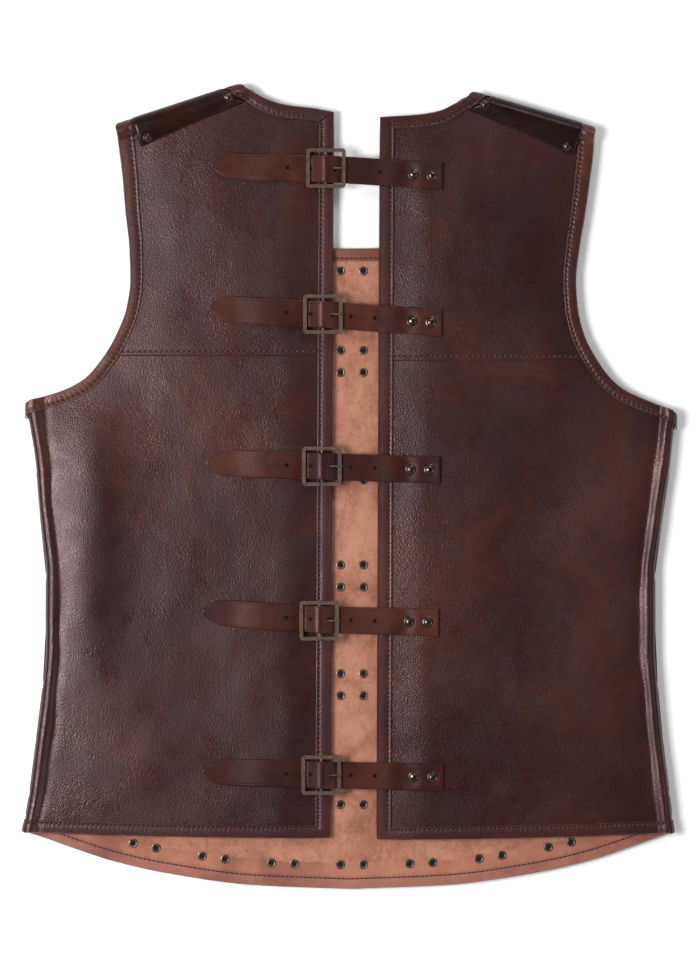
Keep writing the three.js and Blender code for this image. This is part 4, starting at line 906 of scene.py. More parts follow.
class WithEnds:
    # an edge of the back carried on round the folds at its ends: each end is (points, normals, inward, lifts)
    def __init__(self, edge, head=None, tail=None):
        self.edge, self.head, self.tail = edge, head, tail
        self.meanSpread = edge.meanSpread
        self.before = len(head[0]) if head else 0
        self.length = edge.length + sum(float(lengthsAlong(end[0])[-1]) for end in (head, tail) if end)
        self.stations = edge.stations

    def places(self, depth, stations=None):
        parts = [self.edge.places(depth, stations)]
        if stations is None:
            ends = [[(end[0] + depth * end[2], end[1])] if end else [] for end in (self.head, self.tail)]
            parts = ends[0] + parts + ends[1]
        return tuple(np.concatenate(group) for group in zip(*parts))

    def rise(self):
        head, tail = [end[3] if end else np.zeros(0) for end in (self.head, self.tail)]
        return tuple(np.concatenate([head, middle, tail]) for middle in self.edge.rise())


tailAngles = spanned(body["seamAngle"] - 4, 7, -14)


def sideEnd(half):
    points, normals = sideFoldPlaces(half, half.tipY - cornerDrop(tailAngles), tailAngles)
    inward = np.array([0.0, -1.0, 0.0])
    return points - inward * binding["tailOut"], normals, inward, np.full(len(points), binding["tailLift"])


def shoulderEnd(half, plan, frontPoint, way, spread):
    # from the back's edge round the shoulder fold, meeting the front's edge on the way
    seamReach = foldReach - seamInset
    backFoot = np.array(plan) - half.upward * seamReach
    frontFoot = np.array([abs(frontPoint[0]), frontPoint[1]])
    t = smoothStep((body["seamAngle"] - tailAngles) / 50)[:, None]
    foot = lerp(backFoot[None, :], frontFoot[None, :], t)
    foot = foot + half.along[None, :] * (way * shoulderDrop(tailAngles))[:, None]
    points, normals = shoulderFoldPlaces(half, foot[:, 0], foot[:, 1], tailAngles)
    inward = np.array([half.sign * half.along[0], half.along[1], 0.0]) * way * spread
    lifts = np.linspace(binding["foldLift"], binding["tailLift"], len(points))
    return points - inward / spread * binding["tailOut"], normals, inward, lifts


def flipped(end):
    points, normals, inward, lifts = end
    return points[::-1], normals[::-1], inward, lifts[::-1]


def makeBinding(name, edge, bothVisible, finish, *nodes, pucker=1.0):
    rise, drop = edge.rise()
    first, last = edge.before, edge.before + len(edge.stations)
    pulled = np.zeros(len(rise))
    pulled[first + 3:last - 1:3] = pucker
    points, normals = edge.places(0)
    inward = unit(edge.places(1.0)[0] - points)

    def flange(row, side):
        depth, height, pull = row
        at, normal = edge.places(depth)
        lifted = halfLeather + height + (rise if side > 0 else drop) - pull * pulled
        return at + side * normal * lifted[:, None]

    ring = [flange(row, 1) for row in visibleFlange]
    for depth, height in nose:
        more = np.where(height > 0, rise, -drop)[:, None] * (abs(height) > 1)
        ring.append(points + inward * depth + normals * (height + more))
    under = visibleFlange[::-1] + [(5.0, 0.3, 0)] if bothVisible else hiddenFlange
    ring += [flange(row, -1) for row in under]
    ring += [flange((0.0, 0.3, 0), -1), points - inward * 0.3 - normals, points - inward * 0.3 + normals]
    ring += [flange((0.0, 0.3, 0), 1), flange((5.0, 0.3, 0), 1)]
    innerFrom = len(visibleFlange) + 2
    keys = [int(innerFrom <= k < innerFrom + len(under) + 3) for k in range(len(ring))]
    made = sweep(name, np.stack(ring, axis=1), finish, 45, keys)
    fitted(made, "binding_leather", *nodes)
    width = binding["frontCut"] if bothVisible else binding["turned"] + binding["flat"] * edge.meanSpread
    width * millimetre
    holes, holeNormals = edge.places(binding["stitchIn"], edge.stations[::3])
    levels = rise[first:last:3] + halfLeather + binding["threadLevel"]
    if bothVisible:
        # the folds are covered by the ends of the back's bindings
        flat = holeNormals[:, 2] < -0.5
        holes, holeNormals, levels = holes[flat], holeNormals[flat], levels[flat]
        stitchRow("innerStitches_" + name, holes, holeNormals, -1, levels)
    stitchRow("stitches_" + name, holes, holeNormals, 1, levels)


# along the stitch, height and girth of each ring of a stitch's thread
stitchRings = [(0.12, -0.4, 0.6), (0.28, 0.08, 1.0), (0.5, 0.22, 1.1), (0.72, 0.08, 1.0), (0.88, -0.4, 0.6)]


def stitchRow(name, holes, normals, side, height, slant=None):
    # one short bent cord from each hole to the next
    slant = thread["slant"] if slant is None else slant
    count = len(holes) - 1
    start, end = holes[:-1], holes[1:]
    up = unit(normals[:-1] + normals[1:]) * side
    along = unit(end - start)
    aside = np.cross(up, along)
    level = ((height[:-1] + height[1:]) / 2)[:, None]
    rings = []
    for t, rise, swell in stitchRings:
        centre = start + (end - start) * t + up * (level + rise) + aside * (slant * (t - 0.5) * 4)
        for k in range(5):
            angle = 2 * math.pi * k / 5
            rings.append(centre + (aside * math.cos(angle) + up * math.sin(angle)) * thread["radius"] * swell)
    vertices = np.stack(rings, axis=1)
    faces = []
    for n in range(count):
        base = n * 25
        for i in range(4):
            ring = base + i * 5
            faces += [(ring + k, ring + (k + 1) % 5, ring + 5 + (k + 1) % 5, ring + 5 + k) for k in range(5)]
        faces.append(tuple(base + k for k in range(4, -1, -1)))
        faces.append(tuple(base + 20 + k for k in range(5)))
    fitted(newObject(name, vertices.reshape(-1, 3), faces, ["thread"], None, 80), "binding_leather")
    level = height + binding["holeLevel"] - binding["threadLevel"]
    awlHoleShades(name.replace("titches", "titchHoles"), holes, normals, side, level)


def awlHoleShades(name, holes, normals, side, height):
    # a small dark oval at each hole, lying just over the groove: painted shade for the dark inside the awl hole
    along = unit(np.gradient(holes, axis=0))
    up = unit(normals) * side
    aside = np.cross(up, along)
    rim = []
    for k in range(8):
        angle = 2 * math.pi * k / 8
        rim.append(holes + up * height[:, None] + along * (math.cos(angle) * thread["holeLength"])
                   + aside * (math.sin(angle) * thread["holeWidth"]))
    upper = np.stack(rim, axis=1)
    lower = upper - up[:, None, :] * 0.3
    vertices = np.concatenate([upper, lower], axis=1)
    faces = []
    for n in range(len(holes)):
        base = n * 16
        faces.append(tuple(base + k for k in range(8)))
        faces.append(tuple(base + 8 + k for k in range(7, -1, -1)))
        faces += [(base + 8 + k, base + 8 + (k + 1) % 8, base + (k + 1) % 8, base + k) for k in range(8)]
    fitted(newObject(name, vertices.reshape(-1, 3), faces, ["pit"]), "binding_leather")


def turned(points, turn):
    along = unit(np.gradient(points, axis=0))
    return np.stack([-turn * along[:, 1], turn * along[:, 0]], axis=1)


def columnStep(half, u, y, rise):
    # the way that a column of the lower back leans, over a short rise
    lean = (lowerOut(half, u, y + rise) - lowerOut(half, u, y)) / abs(rise)
    return np.stack([lean, np.full(np.shape(u), np.sign(rise))], axis=1)


def alongShoulder(half, points, inward, way):
    # near the shoulder the binding turns to run square over the fold
    near = 1 - smoothStep((half.toShoulder(points[:, 0], points[:, 1]) - 5) / 22)
    return lerp(inward, way * half.along[None, :], near[:, None]), binding["foldLift"] * near


def makeBackBindings(half):
    hemUs = np.linspace(0, 1, 160)
    hemYs = half.backHem(lowerOut(half, hemUs, half.sizes["hemSide"]))
    hem = np.stack([lowerOut(half, hemUs, hemYs), hemYs], axis=1)
    hemInward = columnStep(half, hemUs, hemYs, 10.0)
    makeBinding("backHemBinding_" + half.name, BackEdge(half, hem, hemInward, mitreStart=1.2), False,
                ("binding", "binding"), "back_hem_binding_" + half.name)
    openYs = np.linspace(float(hemYs[0]), float(half.neckY(half.open(336))), 200)
    opening = np.stack([half.open(openYs), openYs], axis=1)
    makeBinding("openingBinding_" + half.name,
                BackEdge(half, opening, np.tile([1.0, 0.0], (200, 1)), 1.0, 1.0, spread=1.2), False,
                ("binding", "binding"), "back_opening_binding_" + half.name)
    neckOuts = np.linspace(float(opening[-1, 0]), half.corner, 120)
    neck = np.stack([neckOuts, half.neckY(neckOuts)], axis=1)
    neckInward, lift = alongShoulder(half, neck, turned(neck, -1), 1)
    neckEdge = BackEdge(half, neck, neckInward, 1.2, lift=lift, spread=np.linspace(1, 1.18, len(neck)))
    lines = frontLines[half.name]
    neckEnd = shoulderEnd(half, neck[-1], lines["neckFold"][0][0], 1, 1.18)
    makeBinding("neckBinding_" + half.name, WithEnds(neckEdge, tail=neckEnd), False, ("binding", "binding"),
                "back_neck_binding_" + half.name)
    top = float(half.shoulderY(float(half.armOut(half.shoulderTop)), seamInset))
    armYs = np.linspace(top, half.seamY, 120)
    upper = np.stack([half.armOut(np.minimum(armYs, half.shoulderTop)), armYs], axis=1)
    endOut = float(half.sideSeam(half.tipY))
    armOuts = np.linspace(float(half.armOut(half.seamY)) + 0.8, endOut, 90)
    lower = np.stack([armOuts, half.armY(armOuts)], axis=1)
    arm = np.concatenate([upper, lower])
    inward, lift = alongShoulder(half, arm, turned(arm, -1), -1)
    nearFold = smoothStep((arm[:, 0] - half.tipOut + 45) / 30)[:, None]
    us = np.clip((arm[:, 0] - half.open(arm[:, 1])) / (half.sideSeam(arm[:, 1]) - half.open(arm[:, 1])), 0, 1)
    inward = lerp(inward, columnStep(half, us, arm[:, 1], -10.0), nearFold)
    spread = 1 + 0.37 * np.clip((arm[:, 1] - 187) / 139, 0, 1)
    armEnd = shoulderEnd(half, arm[0], lines["armFold"][0][0], -1, float(spread[0]))
    edge = WithEnds(BackEdge(half, arm, inward, lift=lift, spread=spread), flipped(armEnd), sideEnd(half))
    makeBinding("armholeBinding_" + half.name, edge, False, ("armhole", "armhole"),
                "back_armhole_binding_" + half.name, pucker=1.9)


for half in halves:
    makeBackBindings(half)
print("back bindings ready")


def flatInward(points, turn):
    along = unit(np.gradient(points[:, :2], axis=0))
    return np.stack([-turn * along[:, 1], turn * along[:, 0], np.zeros(len(points))], axis=1)


def makeFrontBindings():
    hemParts = []
    for half in halves:
        ys = frontHem(float(foldStart(half, -310)) + body["foldRadius"] * np.cos(np.radians(foldAngles)))
        points, normals = sideFoldPlaces(half, ys, foldAngles)
        inward = unit(sideFoldPlaces(half, ys + 10.0, foldAngles)[0] - points)
        outs = np.linspace(0, float(foldStart(half, float(ys[0]))), 140)[:-1]
        flat = np.stack([half.sign * outs, frontHem(outs), np.full(outs.shape, frontMiddle)], axis=1)
        flatNormals = np.tile([0.0, 0.0, -1.0], (len(flat), 1))
        up = np.tile([0.0, 1.0, 0.0], (len(flat), 1))
        hemParts.append([np.concatenate(pair) for pair in ((flat, points), (flatNormals, normals), (up, inward))])
    leftPart, rightPart = hemParts
    edge = FrontEdge(*[np.concatenate([a[::-1], b[1:]]) for a, b in zip(leftPart, rightPart)])
    makeBinding("frontHemBinding", edge, True, ("binding", "hem"), "front_hem_binding")
    neckParts = []
    for half in halves:
        lines = frontLines[half.name]
        side = np.array([half.sign * half.along[0], half.along[1], 0.0])
        flat = np.concatenate([lines["strapInner"][::-1], lines["base"][::-1][1:]])
        inward = flatInward(flat, 1 if half.sign > 0 else -1)
        shoulder = np.linspace(1, 0, len(flat))[:, None]
        inward = unit(lerp(inward, side[None, :], smoothStep(shoulder * 4 - 3)))
        points, normals = lines["neckFold"]
        parts = [np.concatenate(pair) for pair in (
            (points[::-1], flat[1:]), (normals[::-1], np.tile([0.0, 0.0, -1.0], (len(flat) - 1, 1))),
            (np.tile(side, (len(points), 1)), inward[1:]))]
        neckParts.append(parts)
    leftPart, rightPart = neckParts
    edge = FrontEdge(*[np.concatenate([a, b[::-1][1:]]) for a, b in zip(leftPart, rightPart)])
    makeBinding("frontNeckBinding", edge, True, ("binding", "neck"), "front_neck_binding")
    for half in halves:
        lines = frontLines[half.name]
        side = np.array([-half.sign * half.along[0], -half.along[1], 0.0])
        flat = np.concatenate([lines["strapOuter"][::-1], lines["chest"][::-1][1:], lines["underarm"][1:]])
        inward = flatInward(flat, -1 if half.sign > 0 else 1)
        first = smoothStep(1 - np.arange(len(flat)) / 4)[:, None]
        last = smoothStep(1 - (len(flat) - 1 - np.arange(len(flat))) / 5)[:, None]
        foldPoints, foldNormals = lines["underFold"]
        foldInward = unit(sideFoldPlaces(half, foldPoints[:, 1] - 10.0, foldAngles)[0] - foldPoints)
        inward = unit(lerp(lerp(inward, side[None, :], first), foldInward[:1], last))
        points, normals = lines["armFold"]
        edge = FrontEdge(
            np.concatenate([points[::-1], flat[1:], foldPoints[1:]]),
            np.concatenate([normals[::-1], np.tile([0.0, 0.0, -1.0], (len(flat) - 1, 1)), foldNormals[1:]]),
            np.concatenate([np.tile(side, (len(points), 1)), inward[1:], foldInward[1:]]))
        makeBinding("frontArmholeBinding_" + half.name, edge, True, ("armhole", "armhole"),
                    "front_armhole_binding_" + half.name)


makeFrontBindings()
print("front bindings ready")


yokeSeam = {"fromOpening": 13, "fromArm": 11, "pitch": 4.9, "overEdge": 4.4, "sunk": 0.16, "slant": 0.5}


def makeYokeSeam(half):
    start = float(half.open(half.seamY)) + yokeSeam["fromOpening"]
    end = float(half.armOut(half.seamY)) - yokeSeam["fromArm"]
    outs = np.linspace(start, end, round((end - start) / yokeSeam["pitch"]) + 1)
    ys = np.full(outs.shape, half.seamY + yokeSeam["overEdge"])
    points, normals = backPlaces(half, outs, ys)
    level = halfLeather + lapBump(half, ys) - yokeSeam["sunk"]
    stitchRow("yokeStitches_" + half.name, points, normals, 1, level, slant=yokeSeam["slant"])


for half in halves:
    makeYokeSeam(half)


guardTops = {}                   # the upper face of each guard's flap, to seat its rivets on
guardSize = {"thickness": 1.8, "gap": 0.4, "steps": 30, "frontReach": 17.0, "rim": 0.6, "bend": 1.7,
             "neckRivet": 10.8, "neckRivetShare": 0.62, "armRivet": 7.5, "armRivetEdge": 4.6}


def makeGuard(half):
    neckEnd, neckSlant, armEnd = (half.guard[key] for key in ("neckEnd", "neckSlant", "armEnd"))
    ts = np.concatenate([[0, 0.008], np.linspace(0.03, 0.97, guardSize["steps"]), [0.992, 1]])
    along = lerp(neckEnd, armEnd, ts)
    depth = lerp(half.guard["neckDepth"], half.guard["armDepth"], ts)
    fractions = np.concatenate([[1.0, 0.96], np.linspace(0.9, 0.0, 14)])
    columns = []
    for f in fractions:
        inset = lerp(foldReach + guardSize["gap"], depth, f)
        at = along + neckSlant * math.sqrt(f) * (1 - ts)
        points, normals = backPlaces(half, half.peakOut + half.along[0] * at - half.upward[0] * inset,
                                     half.peakY + half.along[1] * at - half.upward[1] * inset)
        lowest = points[:, 2] if f == 1 else lowest     # the flap's edge lies on the yoke
        points[:, 2] = np.maximum(points[:, 2], lerp(foldCrest, lowest, f ** guardSize["bend"]))
        columns.append((points, normals))
    baseOut = half.peakOut + half.along[0] * along - half.upward[0] * foldReach
    baseY = half.peakY + half.along[1] * along - half.upward[1] * foldReach
    for angle in np.linspace(90, -90, 19):
        columns.append(shoulderFoldPlaces(half, baseOut, baseY, angle))
    for inset in (9.0, 12.0, 16.3, guardSize["frontReach"]):
        columns.append(frontPlaces(half, half.peakOut + half.along[0] * along - half.upward[0] * inset,
                                   half.peakY + half.along[1] * along - half.upward[1] * inset))
    points = np.stack([column[0] for column in columns], axis=1)
    rough = np.stack([column[1] for column in columns], axis=1)
    normals = unit(np.cross(np.gradient(points, axis=0), np.gradient(points, axis=1)))
    normals = normals * np.sign((normals * rough).sum(axis=-1, keepdims=True))
    rim = np.zeros(points.shape[:2])
    rim[[0, -1], :] = guardSize["rim"]
    rim[:, [0, -1]] = guardSize["rim"]
    inner = halfLeather + guardSize["gap"]
    flap = len(fractions)
    guardTops[half.name] = ((points + normals * (inner + guardSize["thickness"]))[:, :flap].reshape(-1, 3),
                            normals[:, :flap].reshape(-1, 3))
    net = Net().patch(points + normals * (inner + guardSize["thickness"] - rim)[..., None],
                      points + normals * (inner + rim * 0.2)[..., None])
    made = net.build("shoulderGuard_" + half.name, "guard", "guard", 60)
    fitted(made, "dark_leather", "shoulder_guard_" + half.name)
    middle = points + normals * (inner + guardSize["thickness"] / 2)
    sheetArea(middle)


for half in halves:
    makeGuard(half)
print("shoulder guards ready")


strapSize = {"width": 24.3, "thickness": 2.2, "holeRadius": 1.8, "gap": 0.4}
buckleSize = {"width": 35.5, "bar": 2.8, "face": 3.3, "height": 2.4, "rise": 5.95, "cornerRadius": 3.2,
              "centreRadius": 1.2, "rounding": 0.7}
chapeSize = {"length": 48.0, "width": 20.0, "thickness": 1.5}
prongSize = {"loop": 2.05, "wire": 0.75, "root": 1.15, "tip": 0.6, "rounding": 0.4}
strapRivets = (26.5, 9.5)         # distances in from the fixed end
strapRows = [
    {"tip": (-125, 287.3), "end": (83.6, 278.4), "buckle": (-21.4, 285.2), "holes": [-55.6, -35.8, 26.8]},
    {"tip": (-127.4, 159.3), "end": (82.7, 146.3), "buckle": (-24.1, 154), "holes": [-56.5, -35.2, 1.1, 22.7]},
    {"tip": (-129.8, 20.6), "end": (81.3, 14), "buckle": (-25.1, 17.3), "holes": [-56.5, -35.2, 1.1, 22.7]},
    {"tip": (-133, -113), "end": (79.9, -123.2), "buckle": (-27.4, -121.4), "holes": [-56.5, -35.2, 1.1, 22.7]},
    {"tip": (-133.2, -256.9), "end": (84.1, -262.6), "buckle": (-25.6, -260.1), "holes": [-56.5, -35.2, 1.1, 22.7]},
]
barInset = buckleSize["width"] / 2 - buckleSize["bar"] / 2
curlRadius = buckleSize["centreRadius"] + 0.35 + chapeSize["thickness"] / 2


def topUnder(x, y):
    half = leftHalf if x < 0 else rightHalf
    reach = strapSize["width"] / 2
    return float(np.max(backHeight(half, np.full(3, abs(x)), y + np.array([-reach, 0, reach])))) + halfLeather


def barLevel(row):
    return topUnder(row["buckle"][0] - barInset, row["buckle"][1]) + buckleSize["rise"]


def strapMiddle(row):
    guide = lerp(row["buckle"][1], lerp(row["tip"][1], row["end"][1], 0.49), 0.35)
    return smoothTable([row["tip"], (row["buckle"][0], guide), row["end"]])


def strapHeight(row):
    half = strapSize["thickness"] / 2
    gap, bar, buckleX = strapSize["gap"], barLevel(row), row["buckle"][0]
    chapeEnd = buckleX - chapeSize["length"]
    middle = strapMiddle(row)
    edge = float(rightHalf.open(row["end"][1]))

    def resting(x):
        return x, topUnder(x, float(middle(x))) + gap + half

    def overChape(x):
        return x, topUnder(x, row["buckle"][1]) + 0.3 + chapeSize["thickness"] + gap + half

    def underBar(d):
        return buckleX + d, bar - buckleSize["height"] / 2 - gap - half

    def overBinding(x):
        level = float(backHeight(rightHalf, max(x, edge), float(middle(x))))
        return x, level + halfLeather + 0.3 + 1.2 + 1.5 * gap + half

    hump = (buckleX, bar + curlRadius + chapeSize["thickness"] / 2 + 2 * gap + half)
    rows = [resting(row["tip"][0]), resting(row["tip"][0] + 22), (chapeEnd - 1, overChape(chapeEnd)[1]),
            overChape(buckleX - 26), underBar(-barInset - 1.8), underBar(-barInset + 1.8), hump,
            underBar(barInset - 1.8), underBar(barInset + 1.8), overBinding(edge - 3), overBinding(edge + 12),
            resting(edge + 22), resting(row["end"][0] - 20), resting(row["end"][0])]
    return smoothTable(rows)


# across a strap: distance in from its side and height, as shares of half its thickness
strapSection = [(0.0, -0.55), (0.0, 0.35), (0.3, 0.8), (0.9, 1.0), (1.6, 1.0), (2.0, 0.9), (2.4, 0.99), (3.4, 1.02)]
tipSteps = np.array([0, 0.15, 0.8, 2, 4, 6.5, 9.5, 13, 16.5])
tipWidth = smoothTable([(0, 0.6), (0.8, 2.8), (4.5, 10.6), (8, 15.8), (11, 19.4), (16, 22.2), (22, 23.7), (28, 24.3)])


def makeStrap(number, row):
    height, middle = strapHeight(row), strapMiddle(row)
    tipX, endX = row["tip"][0], row["end"][0]
    xs = np.concatenate([tipX + tipSteps, spanned(tipX + 20, 2.2, endX - 40, 1.4, endX - 0.8), [endX - 0.25, endX]])
    widths = tipWidth(xs - tipX) - np.interp(xs, [endX - 0.8, endX], [0, 1.0])
    slope = (height(xs + 0.4) - height(xs - 0.4)) / 0.8
    normals = unit(np.stack([-slope, np.zeros(xs.shape), np.ones(xs.shape)], axis=1))
    centres = np.stack([xs, middle(xs), height(xs)], axis=1)
    half = strapSize["thickness"] / 2
    soft = np.interp(xs, [tipX, tipX + 0.8, endX - 0.8, endX], [0.55, 1, 1, 0.7])
    ring = []
    for inset, share in strapSection:
        ring.append((-1, inset, share))
    for share in (-0.6, -0.45, -0.3, -0.15, 0.0, 0.15, 0.3, 0.45, 0.6):
        ring.append((share, None, 1.0))
    ring += [(1, inset, share) for inset, share in reversed(strapSection)]
    ring += [(1, 0.5, -1.0), (0.0, None, -1.0), (-1, 0.5, -1.0)]
    points = []
    for side, inset, share in ring:  # places with an inset keep near the strap's edge, the others share its width
        lateral = widths / 2 * side
        if inset is not None:
            lateral = side * np.maximum(widths / 2 - inset * np.minimum(1, widths / 12), 0.02)
        level = half * share * (soft if share > 0 else 1)
        if share > 0.9:
            # the leather is drawn down round each rivet
            for fromEnd in strapRivets:
                away = (xs - (endX - fromEnd)) ** 2 + lateral ** 2
                level = level - 0.75 * np.exp(-away / 42)
        upright = normals * np.reshape(level * np.ones(xs.shape), (-1, 1))
        points.append(centres + np.stack([0 * xs, lateral, 0 * xs], axis=1) + upright)
    made = sweep("strap_%d_leather" % number, np.stack(points, axis=1), "strap", 50)
    # the dark disc near the bottom of each hole is painted shade, standing in for the dark under the strap
    cutters, shadeDiscs = [], []        # punches, and a dark disc deep in each hole
    for x in row["holes"] + [row["buckle"][0] + 8.6]:
        for depth, drop, less, found in ((20, 0, 0, cutters), (0.3, 0.7, 0.1, shadeDiscs)):
            bpy.ops.mesh.primitive_cylinder_add(
                vertices=20, radius=(strapSize["holeRadius"] - less) * millimetre, depth=depth * millimetre,
                location=Vector((x, float(middle(x)), float(height(x)) - drop)) * millimetre)
            found.append(bpy.context.object)
    # the discs of painted shade take the near-black finish
    holeShadeDisc = joinedMesh("strapHoles_%d" % number, shadeDiscs)
    holeShadeDisc.data.materials.append(finishes["pit"])
    only(holeShadeDisc)
    bpy.ops.object.transform_apply(location=True, rotation=True, scale=True)
    fitted(holeShadeDisc, "strap_leather")
    cutter = joinedMesh("strapPunch", cutters)
    only(made)
    punch = made.modifiers.new("punch", "BOOLEAN")
    punch.operation, punch.solver, punch.object = "DIFFERENCE", "EXACT", cutter
    bpy.ops.object.modifier_apply(modifier="punch")
    bpy.data.objects.remove(cutter, do_unlink=True)
    smooth(made, 38)
    fitted(made, "strap_leather", "strap_%d" % number)
    length = lengthsAlong(centres)[-1]
    strapSize["width"] * millimetre


def makeChape(number, row):
    buckleX, buckleY = row["buckle"]
    bar = barLevel(row)
    rest = 0.3 + chapeSize["thickness"] / 2
    xs = buckleX + spanned(-chapeSize["length"], 3, -barInset + 1.8)
    zs = np.array([topUnder(x, buckleY) + rest for x in xs])
    path = [(x, z) for x, z in zip(xs, zs)]
    path.append((buckleX - 11, lerp(zs[-1], bar - curlRadius, 0.45)))
    path.append((buckleX - 6, lerp(zs[-1], bar - curlRadius, 0.85)))
    for angle in np.radians(np.arange(-90, 91, 15)):
        path.append((buckleX + curlRadius * math.cos(angle), bar + curlRadius * math.sin(angle)))
    path.append((buckleX - 1.2, bar + curlRadius))
    path = np.array(path)
    along = unit(np.gradient(path, axis=0))
    normals = np.stack([-along[:, 1], np.zeros(len(path)), along[:, 0]], axis=1)
    centres = np.stack([path[:, 0], np.full(len(path), buckleY), path[:, 1]], axis=1)
    h, w = chapeSize["thickness"] / 2, chapeSize["width"] / 2
    ring = [(-w, -h * 0.6), (-w, h * 0.6), (-w + 0.5, h), (0, h), (w - 0.5, h), (w, h * 0.6), (w, -h * 0.6),
            (w - 0.5, -h), (0, -h), (-w + 0.5, -h)]
    points = [centres + np.array([0, side, 0])[None, :] + normals * level for side, level in ring]
    made = sweep("chape_%d_leather" % number, np.stack(points, axis=1), "strap", 50)
    fitted(made, "strap_leather", "chape_%d" % number)


def makeBuckle():
    # a square block, opened in the middle, then rounded
    w, h = buckleSize["width"] * millimetre, buckleSize["height"] * millimetre
    bpy.ops.object.select_all(action="DESELECT")
    bpy.ops.mesh.primitive_cube_add(size=1)
    made = bpy.context.object
    made.scale = (w, w, h)
    bpy.ops.object.transform_apply(location=True, rotation=True, scale=True)
    made.name = made.data.name = "buckleMaster"
    bpy.ops.object.mode_set(mode="EDIT")
    bpy.ops.mesh.select_mode(type="EDGE")
    mesh = bmesh.from_edit_mesh(made.data)
    for edge in mesh.edges:
        edge.select_set(abs(edge.verts[0].co.z - edge.verts[1].co.z) > h / 2)
    bmesh.update_edit_mesh(made.data)
    bpy.ops.mesh.bevel(offset=buckleSize["cornerRadius"] * millimetre, segments=5)
    bpy.ops.mesh.select_mode(type="FACE")
    mesh = bmesh.from_edit_mesh(made.data)
    for face in mesh.faces:
        face.select_set(abs(face.normal.z) > 0.9)
    bmesh.update_edit_mesh(made.data)
    bpy.ops.mesh.inset(thickness=buckleSize["face"] * millimetre)
    bpy.ops.mesh.bridge_edge_loops()
    bpy.ops.mesh.select_all(action="SELECT")
    bpy.ops.mesh.normals_make_consistent(inside=False)
    bpy.ops.object.mode_set(mode="OBJECT")
    rounded(made, buckleSize["rounding"], 3, math.radians(50))
    bpy.ops.mesh.primitive_cylinder_add(vertices=20, radius=buckleSize["centreRadius"] * millimetre,
                                        depth=w - 0.002, rotation=(math.pi / 2, 0, 0))
    bar = bpy.context.object
    bpy.ops.object.transform_apply(location=True, rotation=True, scale=True)
    return joinedMesh("buckleMaster", [made, bar])


def makeProng():
    # a loop round the middle bar and a tapering tongue to the outer one
    bpy.ops.mesh.primitive_torus_add(major_radius=prongSize["loop"] * millimetre,
                                     minor_radius=prongSize["wire"] * millimetre, major_segments=24,
                                     minor_segments=10, rotation=(math.pi / 2, 0, 0))
    loop = bpy.context.object
    start = Vector((1.6, 0, 1.5)) * millimetre
    end = Vector((barInset + 2.6, 0, buckleSize["height"] / 2 + 1.15)) * millimetre
    bpy.ops.mesh.primitive_cone_add(vertices=12, radius1=prongSize["root"] * millimetre,
                                    radius2=prongSize["tip"] * millimetre, depth=(end - start).length,
                                    location=(start + end) / 2,
                                    rotation=(end - start).to_track_quat("Z", "Y").to_euler())
    tongue = bpy.context.object
    rounded(tongue, prongSize["rounding"], 2)
    for part in (loop, tongue):
        only(part)
        bpy.ops.object.transform_apply(location=True, rotation=True, scale=True)
    return joinedMesh("prongMaster", [loop, tongue])


def turnedMaster(name, sides, radius, steps, dark=0.0):
    # a disc drawn up ring by ring: each step is (rise, next radius); upper faces inside the dark radius get the
    # near-black painted shade, for a hollow
    bpy.ops.object.select_all(action="DESELECT")
    bpy.ops.mesh.primitive_circle_add(vertices=sides, radius=radius * millimetre, fill_type="NGON")
    made = bpy.context.object
    bpy.ops.object.mode_set(mode="EDIT")
    bpy.ops.mesh.select_mode(type="FACE")
    bpy.ops.mesh.select_all(action="SELECT")
    now = radius
    for rise, following in steps:
        bpy.ops.mesh.extrude_region_move(TRANSFORM_OT_translate={"value": (0, 0, rise * millimetre)})
        bpy.ops.transform.resize(value=(following / now, following / now, 1), center_override=(0, 0, 0))
        now = following
    bpy.ops.mesh.select_all(action="SELECT")
    bpy.ops.mesh.normals_make_consistent(inside=False)
    bpy.ops.object.mode_set(mode="OBJECT")
    made.name = made.data.name = name
    smooth(made, 45)
    # faces on top within the dark radius take the painted shade
    for face in made.data.polygons:
        reach = max(math.hypot(*made.data.vertices[v].co[:2]) for v in face.vertices)
        face.material_index = int(reach < dark * millimetre and face.center.z > 0.0001)
    return made


def placedCopy(master, name, finish, matrix):
    made = bpy.data.objects.new(name, master.data.copy())
    bpy.context.scene.collection.objects.link(made)
    made.data.transform(matrix)
    # each copy also carries the near-black finish of painted shade, for any hollow faces
    for used in (finish, "pit"):
        made.data.materials.append(finishes[used])
    return made


def standing(point, normal, lift=0.0):
    turn = Vector((0, 0, 1)).rotation_difference(Vector(normal)).to_matrix().to_4x4()
    return Matrix.Translation((Vector(point) + Vector(normal) * lift) * millimetre) @ turn


buckleMaster, prongMaster = makeBuckle(), makeProng()
rivetSteps = [(0.3, 5.0), (0.2, 4.65), (0.08, 4.3), (0.7, 4.05), (0.65, 3.4), (0.45, 2.5), (0.25, 1.5),
              (0.08, 0.6), (0.02, 0.2)]
rivetMaster = turnedMaster("rivetMaster", 24, 4.9, rivetSteps)
tubeSteps = [(0.3, 4.15), (0.4, 3.95), (0.15, 3.5), (-0.1, 2.9), (-0.2, 2.45), (-0.3, 2.3), (-0.02, 0.4)]
